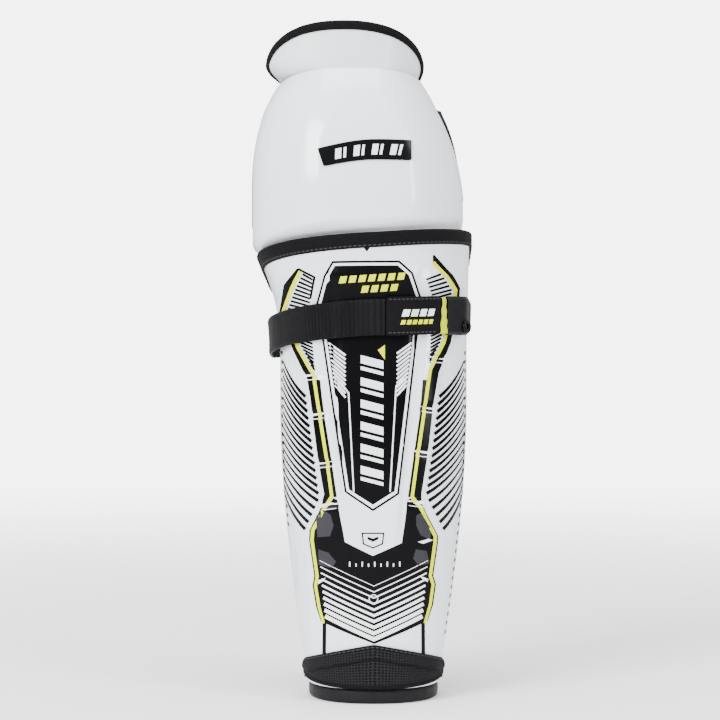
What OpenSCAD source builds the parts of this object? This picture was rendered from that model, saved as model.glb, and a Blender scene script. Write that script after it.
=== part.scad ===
// Left-leg hockey shin guard: a moulded shin shell and knee cap over foam liners, with a thigh
// flap, two calf wings and two straps. +Z runs up the leg, -Y is the front, and the origin is on
// the leg's axis at the level of the lower end. Every curved layer is a sheet on one of three
// surfaces, shin, knee and flap, at a depth below that surface's outer face.

/* [Shin shell] */
// Height of the shell's lower edge above the lower end of the guard
shell_bottom = 10.5; // [8:0.5:14]
// Height of the shell's upper edge at the front
shell_top = 325; // [318:1:332]
// Half width of the shell at the ankle
ankle_half = 45.5; // [42:0.5:49]
// Half width of the shell at the calf
calf_half = 67; // [62:0.5:71]
// Depth of the front in front of the leg's axis at the ankle
ankle_front = 47; // [44:1:52]
// Depth of the front in front of the leg's axis at the calf
calf_front = 62; // [58:1:68]
// Wall of the shin shell and knee cap
wall = 3; // [2.5:0.1:4]
// How far the shell wraps round each side, in degrees from the front
shell_wrap = 100; // [95:1:104]
// Height of the raised middle of the shell
spine_rise = 2.4; // [1:0.1:3]

/* [Knee cap] */
// Place of the knee cap's middle across the leg, negative towards the other leg
knee_middle = -11.2; // [-14:0.2:-8]
// Half width of the knee cap
knee_half = 75.5; // [72:0.5:78]
// Depth of the knee cap's front in front of the leg's axis
knee_front = 87; // [82:1:90]
// Height of the knee cap's upper rim at the front
knee_top = 441; // [436:1:446]
// Length of the skirt that tucks behind the shin shell
skirt_depth = 30; // [22:1:34]
// Height of the axis that the knee cap turns about
knee_axis_z = 300; // [295:1:305]
// Place of that axis behind the leg's axis
knee_axis_y = 8; // [5:1:12]

/* [Thigh flap] */
// Place of the flap's middle across the leg
flap_middle = -20.5; // [-23:0.5:-17]
// Height of the flap's upper edge at the front
flap_top = 472; // [465:1:478]
// Half width of the flap at its upper edge
flap_half = 55; // [50:1:57]

/* [Straps] */
// Width of the lock strap
strap_width = 25; // [22:1:30]
// Thickness of the lock strap's webbing
strap_thick = 1.8; // [1.4:0.1:2.2]
// Height of the lock strap's middle at the right
strap_height = 270.5; // [265:0.5:275]
// Width of the lower elastic
elastic_width = 32; // [26:1:38]
// Height of the lower elastic's middle
elastic_height = 92; // [84:1:100]

/* [Foam] */
// Thickness of the shin liner
liner_thick = 10; // [7:0.5:11]
// Thickness of the calf wings
wing_thick = 9; // [7:0.5:10]

/* [Hidden] */

squareness = 0.87;        // 1 is an ellipse, less is squarer
rear_depth = 74;          // depth of the closed section behind the leg's axis
gap = 0.4;                // air between pieces that lie on each other
binding_wall = 1.7;       // cloth binding folded over an edge
angle_step = 6;           // every layer bends at the same angles, so layers stay parallel

// ---------------------------------------------------------------- helpers

function limit(v) = max(0, min(1, v));
function smooth(v) = let (s = limit(v)) s * s * (3 - 2 * s);
function mix(a, b, k) = a + (b - a) * k;
function spaced(from, to, steps) = [for (i = [0:steps]) mix(from, to, i / steps)];
function stations(from, to) = concat([from],
    [for (k = [floor(from / angle_step + 1.2):ceil(to / angle_step - 1.2)]) k * angle_step], [to]);

// Point of a rounded U: half widths, depth of the front and of the rear, angle t from the front
function section(t, left, right, front, rear) = [
    (t < 0 ? -left : right) * pow(abs(sin(t)), squareness),
    cos(t) >= 0 ? -front * pow(cos(t), squareness) : rear * pow(-cos(t), squareness)
];

// Closed sheet between two grids of points of the same size. The outer grid's columns run
// from left to right over the front and its rows run upwards.
module sheet(outer, inner) {
    rows = len(outer);
    cols = len(outer[0]);
    half = rows * cols;
    function o(r, c) = r * cols + c;
    function i(r, c) = half + r * cols + c;
    faces = concat(
        [for (r = [0:rows - 2], c = [0:cols - 2]) [o(r, c), o(r + 1, c + 1), o(r, c + 1)]],
        [for (r = [0:rows - 2], c = [0:cols - 2]) [o(r, c), o(r + 1, c), o(r + 1, c + 1)]],
        [for (r = [0:rows - 2], c = [0:cols - 2]) [i(r, c), i(r, c + 1), i(r + 1, c + 1)]],
        [for (r = [0:rows - 2], c = [0:cols - 2]) [i(r, c), i(r + 1, c + 1), i(r + 1, c)]],
        [for (c = [0:cols - 2]) [o(0, c), o(0, c + 1), i(0, c + 1)]],
        [for (c = [0:cols - 2]) [o(0, c), i(0, c + 1), i(0, c)]],
        [for (c = [0:cols - 2]) [o(rows - 1, c), i(rows - 1, c + 1), o(rows - 1, c + 1)]],
        [for (c = [0:cols - 2]) [o(rows - 1, c), i(rows - 1, c), i(rows - 1, c + 1)]],
        [for (r = [0:rows - 2]) [o(r, 0), i(r + 1, 0), o(r + 1, 0)]],
        [for (r = [0:rows - 2]) [o(r, 0), i(r, 0), i(r + 1, 0)]],
        [for (r = [0:rows - 2]) [o(r, cols - 1), o(r + 1, cols - 1), i(r + 1, cols - 1)]],
        [for (r = [0:rows - 2]) [o(r, cols - 1), i(r + 1, cols - 1), i(r, cols - 1)]]
    );
    polyhedron(concat([for (r = outer) each r], [for (r = inner) each r]), faces);
}

// ---------------------------------------------------------------- the shin surface

calf_height = 215;        // where the sides reach their full width
front_height = 230;       // where the front reaches its full depth
flare_start = 250;        // above this the shell opens out, most of all on the left
flare_left = 14;
flare_right = 1.5;
flare_front = 14;
function taper(z) = sin(90 * limit(z / calf_height));
function top_flare(z) = max(0, z - flare_start) / 60;
function shin_left(z) = mix(ankle_half, calf_half, taper(z)) + flare_left * pow(top_flare(z), 2);
function shin_right(z) = mix(ankle_half, calf_half, taper(z)) + flare_right * top_flare(z);
function shin_front(z) = mix(ankle_front, calf_front, sin(90 * limit(z / front_height)))
    + flare_front * pow(max(0, z - flare_start) / 78, 2);

// The raised middle is a tapering panel with sloping sides
spine_foot = 105;         // the panel rises out of the shell above this
spine_head = 296;         // and sinks back into it above this
spine_slope = 5;          // width of its sloping sides
function spine_half(z) = 18 + 0.072 * (z - 148);
function spine(x, z) = spine_rise * smooth((spine_half(z) + spine_slope - 1 - abs(x)) / spine_slope)
    * smooth((z - spine_foot) / 25) * (1 - smooth((z - spine_head) / 12));

// Point of the shin surface at angle t and height z, d below the outer face
function shin(t, z, d) = let (p = section(t, shin_left(z) - d, shin_right(z) - d,
    shin_front(z) - d, rear_depth - d)) [p.x, p.y - (abs(t) < 60 ? spine(p.x, z) : 0), z];

// Upper and lower edges of the shell: higher on the outside of the leg, corners rounded
crest_tilt = 9;
crest_drop = 5.3;
corner_top = 22;          // height lost at the upper corners
corner_low = 16;
function shell_crest(t) = shell_top + crest_tilt * t / 90 - crest_drop * pow(t / 90, 2);
function shell_upper(t) = shell_crest(t) - corner_top * pow(limit((abs(t) - 84) / 16), 2);
function shell_lower(t) = shell_bottom + corner_low * pow(limit((abs(t) - 82) / 18), 2);

module shin_sheet(t_from, t_to, low, high, rows, d_out, d_in) {
    // low(t) and high(t) are the lower and upper edges
    ts = stations(t_from, t_to);
    grid = function (d) [for (v = spaced(0, 1, rows))
        [for (t = ts) shin(t, mix(low(t), high(t), v), d)]];
    sheet(grid(d_out), grid(d_in));
}

// ---------------------------------------------------------------- moulded shin shell and trims

module shin_shell() color("white")
    shin_sheet(-shell_wrap, shell_wrap, function (t) shell_lower(t),
        function (t) shell_upper(t), 24, 0, wall);

// Cloth channel folded over the shell's upper edge: 10 mm down the front, 5 mm down the back
binding_front = 10;
binding_back = 5;
fold_wrap = 96;           // folded bindings stop short of the shell's rounded corners
module shell_top_binding() color("black") {
    ts = stations(-fold_wrap, fold_wrap);
    outside = [[-binding_wall, -binding_front], [-binding_wall, 0.6], [-0.8, 2.1],
        [wall + 0.8, 2.1], [wall + binding_wall, 0.6], [wall + binding_wall, -binding_back]];
    inside = [[-0.3, -binding_front], [-0.3, 0.2], [-0.1, 0.5],
        [wall + 0.1, 0.5], [wall + 0.3, 0.2], [wall + 0.3, -binding_back]];
    chain = function (profile) [for (p = profile)
        [for (t = ts) shin(t, shell_upper(t) + p.y, p.x)]];
    sheet(chain(outside), chain(inside));
}

// Cloth cover over the front of the lower end: a peak in the middle and a point at each side
cover_peak = 41;
cover_foot = 12;
cover_wrap = 88;
cover_knee = 62;          // angle where the upper edge turns down towards the side points
cover_out = -2.2;
function cover_upper(t) = cover_peak - 12 * limit(abs(t) / cover_knee)
    - 10 * pow(limit((abs(t) - cover_knee) / (cover_wrap - cover_knee)), 1.4);
function cover_lower(t) = cover_foot + 5 * pow(abs(t) / cover_wrap, 2);
module instep_cover() color([0.09, 0.09, 0.1])
    shin_sheet(-cover_wrap, cover_wrap, function (t) cover_lower(t),
        function (t) cover_upper(t), 4, cover_out, -gap);

// Foam roll under the shell's lower edge. Its flat underside is what the guard stands on
bumper_height = 9.8;
bumper_wrap = 94;
bumper_step = 4;
bumper_out = 0.8;
bumper_in = 11;
bumper_rounding = 2.5;    // its lower edge stands back by this
function bumper_arc(d) = [for (t = [-bumper_wrap:bumper_step:bumper_wrap])
    section(t, shin_left(10) - d, shin_right(10) - d, shin_front(10) - d, rear_depth - d)];
function reversed(list) = [for (i = [len(list) - 1:-1:0]) list[i]];
module bumper_layer(from, to, out)
    translate([0, 0, from])
        linear_extrude(to - from)
            polygon(concat(bumper_arc(out), reversed(bumper_arc(bumper_in))));
module ankle_bumper() color("black") {
    bumper_layer(0, bumper_rounding, bumper_rounding);
    bumper_layer(bumper_rounding, bumper_height, bumper_out);
}

// ---------------------------------------------------------------- shin liner and pads

liner_out = wall + 2.4;    // room for the hook-and-loop dots between shell and foam
liner_in = liner_out + liner_thick;
liner_low = 10.4;
liner_high = 284;
liner_wrap = 97;
function liner_upper(t) = liner_high - 16 * pow(abs(t) / 96, 2);
function liner_lower(t) = liner_low + 10 * pow(limit((abs(t) - 80) / 18), 2);

module shin_liner() color([0.12, 0.12, 0.13])
    shin_sheet(-liner_wrap, liner_wrap, function (t) liner_lower(t), function (t) liner_upper(t),
        12, liner_out, liner_in);

// Two long cushions that leave a channel for the shin bone
pad_thick = 5;
pad_near = 16;            // angles where a cushion begins and ends
pad_far = 58;
pad_low = 78;
pad_high = 262;
module tibia_pad(side) color([0.3, 0.3, 0.32])
    shin_sheet(side > 0 ? pad_near : -pad_far, side > 0 ? pad_far : -pad_near,
        function (t) pad_low, function (t) pad_high,
        10, liner_in + gap, liner_in + gap + pad_thick);
module tibia_pad_left() tibia_pad(-1);
module tibia_pad_right() tibia_pad(1);

// Cushion across the front of the ankle
ankle_pad_wrap = 54;
ankle_pad_low = 24;
ankle_pad_high = 66;
ankle_pad_thick = 4;
module ankle_pad() color([0.3, 0.3, 0.32])
    shin_sheet(-ankle_pad_wrap, ankle_pad_wrap, function (t) ankle_pad_low,
        function (t) ankle_pad_high, 4, liner_in + gap, liner_in + gap + ankle_pad_thick);

// Hook-and-loop squares that hold the liner in the shell
dot_turn = 9;             // half the angle that a square covers
dot_half = 14;            // half its height
module liner_hook_dots() color([0.2, 0.2, 0.2])
    for (t = [-52, 52], z = [70, 225])
        shin_sheet(t - dot_turn, t + dot_turn, function (a) z - dot_half,
            function (a) z + dot_half, 3,
            wall + gap / 2, liner_out - gap / 2);

// ---------------------------------------------------------------- lock strap

// The strap rides over the shell and dips towards the left of the leg
function strap_middle(t) = strap_height - 1.5
    + (t > 0 ? 1.5 * smooth(t / 50) : 0.09 * t - 0.00065 * t * t);
function strap_off(t) = -3.4 - (t < -60 ? 3 * limit((-60 - t) / 30) : 0);

// Band on the shin surface at a stand-off, width wide. Angles s past 180 are the left half
// of the loop, seen from the right
function rear_angle(s) = s > 180 ? s - 360 : s;
module band(s_from, s_to, middle, width, off, thick) {
    ss = stations(s_from, s_to);
    grid = function (extra) [for (side = [-0.5, -0.25, 0, 0.25, 0.5])
        [for (s = ss) shin(rear_angle(s), middle(s) + side * width, off(s) + extra)]];
    sheet(grid(-thick), grid(0));
}

tab_start = 4.5;           // angle where the strap's free end begins
module lock_strap_webbing() color([0.13, 0.13, 0.14])
    band(-100, tab_start - 0.4, function (t) strap_middle(t), strap_width,
        function (t) strap_off(t), strap_thick);

rear_strap_off = -6.4;
anchor_in = wall + 2.1;    // sewn patches lie between the shell and the liner

// The elastic closes the loop behind the calf, from the right side to the left
function rear_strap_middle(s) = mix(strap_middle(90), strap_middle(-100), smooth((s - 100) / 160));
module upper_calf_elastic() color([0.1, 0.1, 0.11])
    band(104.4, 259.5, function (s) rear_strap_middle(s), strap_width,
        function (s) mix(anchor_in, rear_strap_off, smooth((s - 104) / 130)), 1.6);

// Sewn patch that joins the elastic to the liner's right edge
module strap_anchor_patch() color("black")
    band(91, 104, function (s) strap_middle(90), strap_width + 8,
        function (s) anchor_in, 1.8);

// Loop patch on the shell under the strap's free end
module shell_hook_patch() color([0.16, 0.16, 0.17])
    band(22, 60, function (t) strap_height, strap_width - 4, function (t) -gap, 1.2);

// The strap's free end: webbing, hook pad under it, label and marker on it, rubber grip
tab_layer = -3.4;
label_end = 35;
grip_start = 41.5;
grip_end = 68;
grip_thick = 2.8;
face_layer = tab_layer - strap_thick - 0.2;
module tab_webbing() color([0.13, 0.13, 0.14])
    band(tab_start, grip_start - 0.5, function (t) strap_height, strap_width,
        function (t) tab_layer, strap_thick);
module tab_hook_pad() color([0.16, 0.16, 0.17])
    band(24, 40, function (t) strap_height, strap_width - 6, function (t) -2, 1.1);
module tab_label() color([0.05, 0.05, 0.06])
    band(tab_start + 0.5, label_end, function (t) strap_height + 0.5, strap_width + 1.5,
        function (t) face_layer, 1);
module tab_marker() color("yellow")
    band(label_end + 1, label_end + 5, function (t) strap_height, strap_width - 1,
        function (t) face_layer, 0.9);
module tab_end_grip() color([0.07, 0.07, 0.08])
    band(grip_start, grip_end, function (t) strap_height, strap_width + 2,
        function (t) tab_layer + 0.4, grip_thick);

// Round eyelet on the grip, in its lower outer corner
eyelet_turn = 58;
eyelet_height = strap_height - 7.5;
eyelet_radius = 3.4;
eyelet_roll = 1.5;
eyelet_layer = tab_layer + 0.4 - grip_thick - eyelet_roll - 0.5;
module tab_eyelet() color([0.03, 0.03, 0.03])
    translate(shin(eyelet_turn, eyelet_height, eyelet_layer))
        rotate([0, 0, eyelet_turn])
            rotate([90, 0, 0])
                rotate_extrude($fn = 32)
                    translate([eyelet_radius, 0])
                        circle(r = eyelet_roll, $fn = 20);

// ---------------------------------------------------------------- lower strap

// The elastic leaves the patches inside the shell and stands off the wings behind the calf
function lower_layer(s) = mix(anchor_in, -2, smooth((72 - abs(s - 180)) / 40));
tab_root = 138;            // angle where the lower strap's free end begins
module lower_band(s_from, s_to, extra, width, thick)
    band(s_from, s_to, function (s) elastic_height, width,
        function (s) lower_layer(s) + extra, thick);
module lower_calf_elastic() color([0.1, 0.1, 0.11])
    lower_band(tab_root + 0.5, 256.5, 0, elastic_width, 1.6);
module lower_strap_tab() color([0.1, 0.1, 0.11])
    lower_band(108, tab_root, 0, elastic_width, 1.6);
module lower_tab_hook_pad() color([0.16, 0.16, 0.17])
    lower_band(109, 121, 1.4, elastic_width - 6, 1.1);
module lower_anchor_right() color("black")
    lower_band(93, 107.5, 0.1, elastic_width + 4, 1.8);
module lower_anchor_left() color("black")
    lower_band(257, 266, 0.1, elastic_width + 4, 1.8);

// ---------------------------------------------------------------- calf wings

wing_out = 7;
wing_low = 62;
wing_high = 236;
wing_start = 102;
wing_end = 146;
function wing_upper(t) = wing_high - 22 * pow(limit((t - 122) / 28), 2);
function wing_lower(t) = wing_low + 26 * pow(limit((t - 118) / 32), 2);
module wing_sheet(side, t_from, t_to, grow, d_out, d_in) {
    ts = side > 0 ? stations(t_from, t_to) : stations(-t_to, -t_from);
    grid = function (d) [for (v = spaced(0, 1, 10)) [for (t = ts)
        shin(t, mix(wing_lower(abs(t)) - grow, wing_upper(abs(t)) + grow, v), d)]];
    sheet(grid(d_out), grid(d_in));
}
module calf_wing(side) color([0.12, 0.12, 0.13])
    wing_sheet(side, wing_start, wing_end, 0, wing_out, wing_out + wing_thick);
module left_calf_wing() calf_wing(-1);
module right_calf_wing() calf_wing(1);

// Cloth binding along a wing's free edge
module wing_binding(side) color("black")
    wing_sheet(side, wing_end + 0.4, wing_end + 2.4, 0.5, wing_out - 0.4,
        wing_out + wing_thick + 0.8);
module left_wing_binding() wing_binding(-1);
module right_wing_binding() wing_binding(1);

// ---------------------------------------------------------------- the knee surface

knee_level = 368;         // height of the cap's deepest point
knee_lean = 5;            // the cap leans this far inwards towards its rim
function knee_centre(z) = knee_middle - knee_lean * pow(limit((z - 351) / 65), 1.3);
function knee_width(z) = knee_half * (1 - pow(limit((z - 340) / 150), 2.6));
function knee_depth(z) = knee_front * (1 - pow(abs(z - knee_level) / 131, 2.2));

// The cap bulges over the shell's upper edge, and its skirt tucks in behind it
tuck = wall + binding_wall + 1.3;
curl = 9;
knee_wrap = 96;
function knee(t, z, d) =
    let (p = section(t, knee_width(z) - d, knee_width(z) - d, knee_depth(z) - d, 60 - d),
        q = shin(t, min(z, shell_top + 6), tuck + d), h = z - shell_crest(t) - 2.8,
        k = h <= 0 ? 0 : sin(90 * limit(h / curl)))
    [mix(q.x, p.x + knee_centre(z), k), mix(q.y, p.y, k), z];

function cap_upper(t) = knee_top - (t < 0 ? 10 : 5) * pow(t / 90, 2);
function cap_lower(t) = shell_crest(t) - skirt_depth * (1 - pow(limit(abs(t) / knee_wrap), 2))
    + 9 * smooth((abs(t) - 70) / 20);

module knee_sheet(t_from, t_to, low, high, rows, d_out, d_in) {
    ts = stations(t_from, t_to);
    grid = function (d) [for (v = spaced(0, 1, rows))
        [for (t = ts) knee(t, mix(low(t), high(t), v), d)]];
    sheet(grid(d_out), grid(d_in));
}

module knee_cap_shell() color("white")
    knee_sheet(-knee_wrap, knee_wrap, function (t) cap_lower(t),
        function (t) cap_upper(t), 30, 0, wall);

knee_foam_out = wall + 1.8;
knee_foam_in = knee_foam_out + 8;
function knee_foam_upper(t) = cap_upper(t) - 17;
function knee_foam_lower(t) = cap_lower(t) + 15;
module knee_liner() color([0.12, 0.12, 0.13])
    knee_sheet(-knee_wrap - 1, knee_wrap + 1, function (t) knee_foam_lower(t),
        function (t) knee_foam_upper(t), 20, knee_foam_out, knee_foam_in);

// Binding along the liner's two side edges, just proud of the cap
module knee_liner_binding() color("black")
    for (side = [-1, 1])
        knee_sheet(side > 0 ? knee_wrap + 1.6 : -knee_wrap - 4, side > 0 ? knee_wrap + 4
            : -knee_wrap - 1.6, function (t) cap_lower(t) + 17, function (t) cap_upper(t) - 8,
            10, -1.2, knee_foam_in + 0.6);

// Round cushion that seats the knee, on the liner's inner face
ring_level = 372;
ring_radius = 27;
ring_roll = 5;
ring_y = -knee_depth(ring_level) + knee_foam_in + 9;
module knee_cup_ring() color([0.3, 0.3, 0.32])
    translate([knee_middle, ring_y, ring_level])
        rotate([90, 0, 0])
            rotate_extrude($fn = 48)
                translate([ring_radius, 0])
                    circle(r = ring_roll, $fn = 24);

// Raised blank badge on the front of the cap
badge_from = -19.5;
badge_to = 31.5;
badge_low = 370;
badge_high = 383.2;
function badge_rise(t) = sin(90 * limit((t - badge_from) / 42));
module knee_label() color([0.02, 0.02, 0.03])
    knee_sheet(badge_from, badge_to, function (t) badge_low + 5.6 * badge_rise(t),
        function (t) badge_high + 6.4 * badge_rise(t), 3, -0.9, -0.2);

module knee_hook_dots() color([0.2, 0.2, 0.2])
    for (t = [-45, 45])
        knee_sheet(t - dot_turn, t + dot_turn, function (a) ring_level - dot_half,
            function (a) ring_level + dot_half, 3,
            wall + 0.2, knee_foam_out - 0.2);

// Elastic webs at each side, between the shin liner and the knee cap's axis
link_near = 78;
link_far = 94;
link_low = 252;
link_thick = 1.8;
module knee_link(side) color([0.15, 0.15, 0.16])
    shin_sheet(side > 0 ? link_near : -link_far, side > 0 ? link_far : -link_near,
        function (t) link_low, function (t) knee_axis_z - 4, 4,
        liner_in + gap, liner_in + gap + link_thick);
module knee_link_left() knee_link(-1);
module knee_link_right() knee_link(1);

// ---------------------------------------------------------------- the thigh flap surface

flap_low = 432;
neck_middle = -16;        // middle, half width and depth of the neck above the knee cap
neck_half = 45.5;
neck_front = 55.5;
neck_height = 437;
flap_rear = 40;
function flap_flare(z) = sin(90 * limit((z - neck_height) / 14));
function flap_centre(z) = mix(neck_middle, flap_middle, flap_flare(z));
function flap_width(z) = mix(neck_half, flap_half, flap_flare(z));
function flap_depth(z) = neck_front + 7 * pow(limit((z - 446) / 32), 1.5);
function flap(t, z, d) = let (p = section(t, flap_width(z) - d, flap_width(z) - d,
    flap_depth(z) - d, flap_rear - d)) [p.x + flap_centre(z), p.y, z];
flap_wrap = 96;
function flap_upper(t) = flap_top - 25 + 25 * pow(max(0, cos(t)), 0.9)
    - 6 * limit((abs(t) - 90) / 8);
function flap_lower(t) = flap_low + 1 - 7 * pow(max(0, cos(t)), 2);

module flap_sheet(t_from, t_to, low, high, rows, d_out, d_in) {
    ts = stations(t_from, t_to);
    grid = function (d) [for (v = spaced(0, 1, rows))
        [for (t = ts) flap(t, mix(low(t), high(t), v), d)]];
    sheet(grid(d_out), grid(d_in));
}
panel_thick = 2.5;
lining_thick = 5;
module thigh_flap_panel() color("white")
    flap_sheet(-flap_wrap, flap_wrap, function (t) flap_lower(t),
        function (t) flap_upper(t), 6, 0, panel_thick);
module thigh_flap_lining() color([0.12, 0.12, 0.13])
    flap_sheet(-flap_wrap, flap_wrap, function (t) flap_lower(t),
        function (t) flap_upper(t), 6, panel_thick + 0.3, panel_thick + lining_thick);

// Cloth channel over the flap's upper edge
flap_stack = panel_thick + lining_thick;
module thigh_flap_binding() color("black") {
    ts = stations(-flap_wrap, flap_wrap);
    outside = [[-1.3, -3.6], [-1.3, 0.8], [0, 2.2], [flap_stack, 2.2],
        [flap_stack + 1.3, 0.8], [flap_stack + 1.3, -3.6]];
    inside = [[-0.3, -3.6], [-0.3, 0.2], [-0.1, 0.5], [flap_stack + 0.1, 0.5],
        [flap_stack + 0.3, 0.2], [flap_stack + 0.3, -3.6]];
    chain = function (profile) [for (p = profile)
        [for (t = ts) flap(t, flap_upper(t) + p.y, p.x)]];
    sheet(chain(outside), chain(inside));
}

// ---------------------------------------------------------------- nodes

shin_shell();
shell_top_binding();
instep_cover();
ankle_bumper();
shin_liner();
tibia_pad_left();
tibia_pad_right();
ankle_pad();
liner_hook_dots();
lock_strap_webbing();
upper_calf_elastic();
strap_anchor_patch();
shell_hook_patch();
lower_calf_elastic();
lower_anchor_left();
lower_anchor_right();
knee_link_left();
knee_link_right();
knee_cap_shell();
knee_liner();
knee_liner_binding();
knee_cup_ring();
knee_label();
knee_hook_dots();
thigh_flap_panel();
thigh_flap_lining();
thigh_flap_binding();
left_calf_wing();
left_wing_binding();
right_calf_wing();
right_wing_binding();
tab_webbing();
tab_label();
tab_hook_pad();
tab_marker();
tab_end_grip();
tab_eyelet();
lower_strap_tab();
lower_tab_hook_pad();
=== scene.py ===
"""Looks of a left-leg hockey shin guard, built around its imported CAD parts.

Every length in this script is in millimetres and is turned to metres when a mesh is placed.
+Z runs up the leg, -Y is the front. Layers lie on one of three surfaces, shin, knee and flap,
each a function of an angle t round the leg (0 at the front, positive to the right), a height z
and a depth d below the surface's outer face.
"""

import math

import bpy
import numpy as np
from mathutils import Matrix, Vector


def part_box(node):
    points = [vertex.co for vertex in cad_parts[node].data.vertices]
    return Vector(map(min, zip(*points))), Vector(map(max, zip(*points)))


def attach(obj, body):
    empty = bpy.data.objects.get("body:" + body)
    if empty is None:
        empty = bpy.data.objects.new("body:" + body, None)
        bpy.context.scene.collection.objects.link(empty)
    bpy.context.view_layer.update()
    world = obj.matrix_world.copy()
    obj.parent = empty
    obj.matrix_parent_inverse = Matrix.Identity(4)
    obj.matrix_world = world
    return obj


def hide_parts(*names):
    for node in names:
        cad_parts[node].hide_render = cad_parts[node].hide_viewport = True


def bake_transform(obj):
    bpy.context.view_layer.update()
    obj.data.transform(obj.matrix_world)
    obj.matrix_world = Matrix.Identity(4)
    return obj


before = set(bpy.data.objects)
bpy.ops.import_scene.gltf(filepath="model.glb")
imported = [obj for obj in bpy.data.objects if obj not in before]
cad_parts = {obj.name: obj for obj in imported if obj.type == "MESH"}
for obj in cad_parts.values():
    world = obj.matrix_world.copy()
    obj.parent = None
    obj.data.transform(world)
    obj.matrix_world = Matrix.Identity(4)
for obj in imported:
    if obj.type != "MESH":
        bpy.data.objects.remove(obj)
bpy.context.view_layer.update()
MM = 0.001


def node_middle(name):
    low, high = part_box(name)
    return (np.array(low) + np.array(high)) / 2 / MM


# ---- the three surfaces

SQUARE = 0.87
REAR = 74.0
SHELL_TOP = 325.0
WALL = 3.0
SHELL_WRAP = 100.0
KNEE_WRAP = 96.0
FLAP_WRAP = 96.0
LINER_OUT = WALL + 2.4
LINER_IN = LINER_OUT + 10.0
KNEE_FOAM_OUT = WALL + 1.8
KNEE_FOAM_IN = KNEE_FOAM_OUT + 8.0
FLAP_PANEL = 2.5
FLAP_STACK = 7.5
WING_OUT = 7.0
WING_IN = 16.0
WING_END = 146.0


def limit(v):
    return np.clip(v, 0.0, 1.0)


def smooth(v):
    s = limit(v)
    return s * s * (3 - 2 * s)


def quarter(v):
    return np.sin(np.pi / 2 * limit(v))


def mix(a, b, k):
    return a + (b - a) * k


def section(t, left, right, front, rear):
    a = np.radians(t)
    s, c = np.sin(a), np.cos(a)
    x = np.where(t < 0, -left, right) * np.abs(s) ** SQUARE
    y = np.where(c >= 0, -front, rear) * np.abs(c) ** SQUARE
    return x, y


def shin_half(z, left):
    width = 45.5 + 21.5 * quarter(z / 215)
    flare = np.maximum(0, z - 250) / 60
    return width + np.where(left, 14 * flare ** 2, 1.5 * flare)


def shin_front(z):
    return 47 + 15 * quarter(z / 230) + 14 * (np.maximum(0, z - 250) / 78) ** 2


def spine(x, z):
    half = 18 + 0.072 * (z - 148)
    return (2.4 * smooth((half + 4 - np.abs(x)) / 5) * smooth((z - 105) / 25)
            * (1 - smooth((z - 296) / 12)))


def shin(t, z, d, moulded=0.0):
    """Point of the shin surface; moulded is an extra rise of the outer face."""
    t, z = np.broadcast_arrays(np.asarray(t, float), np.asarray(z, float))
    d = np.asarray(d, float) - moulded
    x, y = section(t, shin_half(z, True) - d, shin_half(z, False) - d,
                   shin_front(z) - d, REAR - d)
    y = y - np.where(np.abs(t) < 60, spine(x, z), 0)
    return x, y, z


def shell_crest(t):
    return SHELL_TOP + 9 * t / 90 - 5.3 * (t / 90) ** 2


def shell_upper(t):
    return shell_crest(t) - 22 * limit((np.abs(t) - 84) / 16) ** 2


def shell_lower(t):
    return 10.5 + 16 * limit((np.abs(t) - 82) / 18) ** 2


def knee_centre(z):
    return -11.2 - 5 * limit((z - 351) / 65) ** 1.3


def knee_half(z):
    return 75.5 * (1 - limit((z - 340) / 150) ** 2.6)


def knee_depth(z):
    return 87 * (1 - (np.abs(z - 368) / 131) ** 2.2)


def knee(t, z, d, moulded=0.0):
    t, z = np.broadcast_arrays(np.asarray(t, float), np.asarray(z, float))
    e = np.asarray(d, float) - moulded
    px, py = section(t, knee_half(z) - e, knee_half(z) - e, knee_depth(z) - e, 60 - e)
    qx, qy, _ = shin(t, np.minimum(z, SHELL_TOP + 6), WALL + 1.7 + 1.3 + d)
    k = quarter((z - shell_crest(t) - 2.8) / 9)
    return mix(qx, px + knee_centre(z), k), mix(qy, py, k), z


def cap_upper(t):
    return 441 - np.where(t < 0, 10, 5) * (t / 90) ** 2


def cap_lower(t):
    return (shell_crest(t) - 30 * (1 - limit(np.abs(t) / KNEE_WRAP) ** 2)
            + 9 * smooth((np.abs(t) - 70) / 20))


def flap(t, z, d, moulded=0.0):
    t, z = np.broadcast_arrays(np.asarray(t, float), np.asarray(z, float))
    d = np.asarray(d, float) - moulded
    flare = quarter((z - 437) / 14)
    depth = 55.5 + 7 * limit((z - 446) / 32) ** 1.5
    half = mix(45.5, 55, flare)
    x, y = section(t, half - d, half - d, depth - d, 40 - d)
    return x + mix(-16, -20.5, flare), y, z


def flap_upper(t):
    return 447 + 25 * np.maximum(0, np.cos(np.radians(t))) ** 0.9 \
        - 6 * limit((np.abs(t) - 90) / 8)


def flap_lower(t):
    return 433 - 7 * np.maximum(0, np.cos(np.radians(t))) ** 2


# ---- mouldings of the shell

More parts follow.
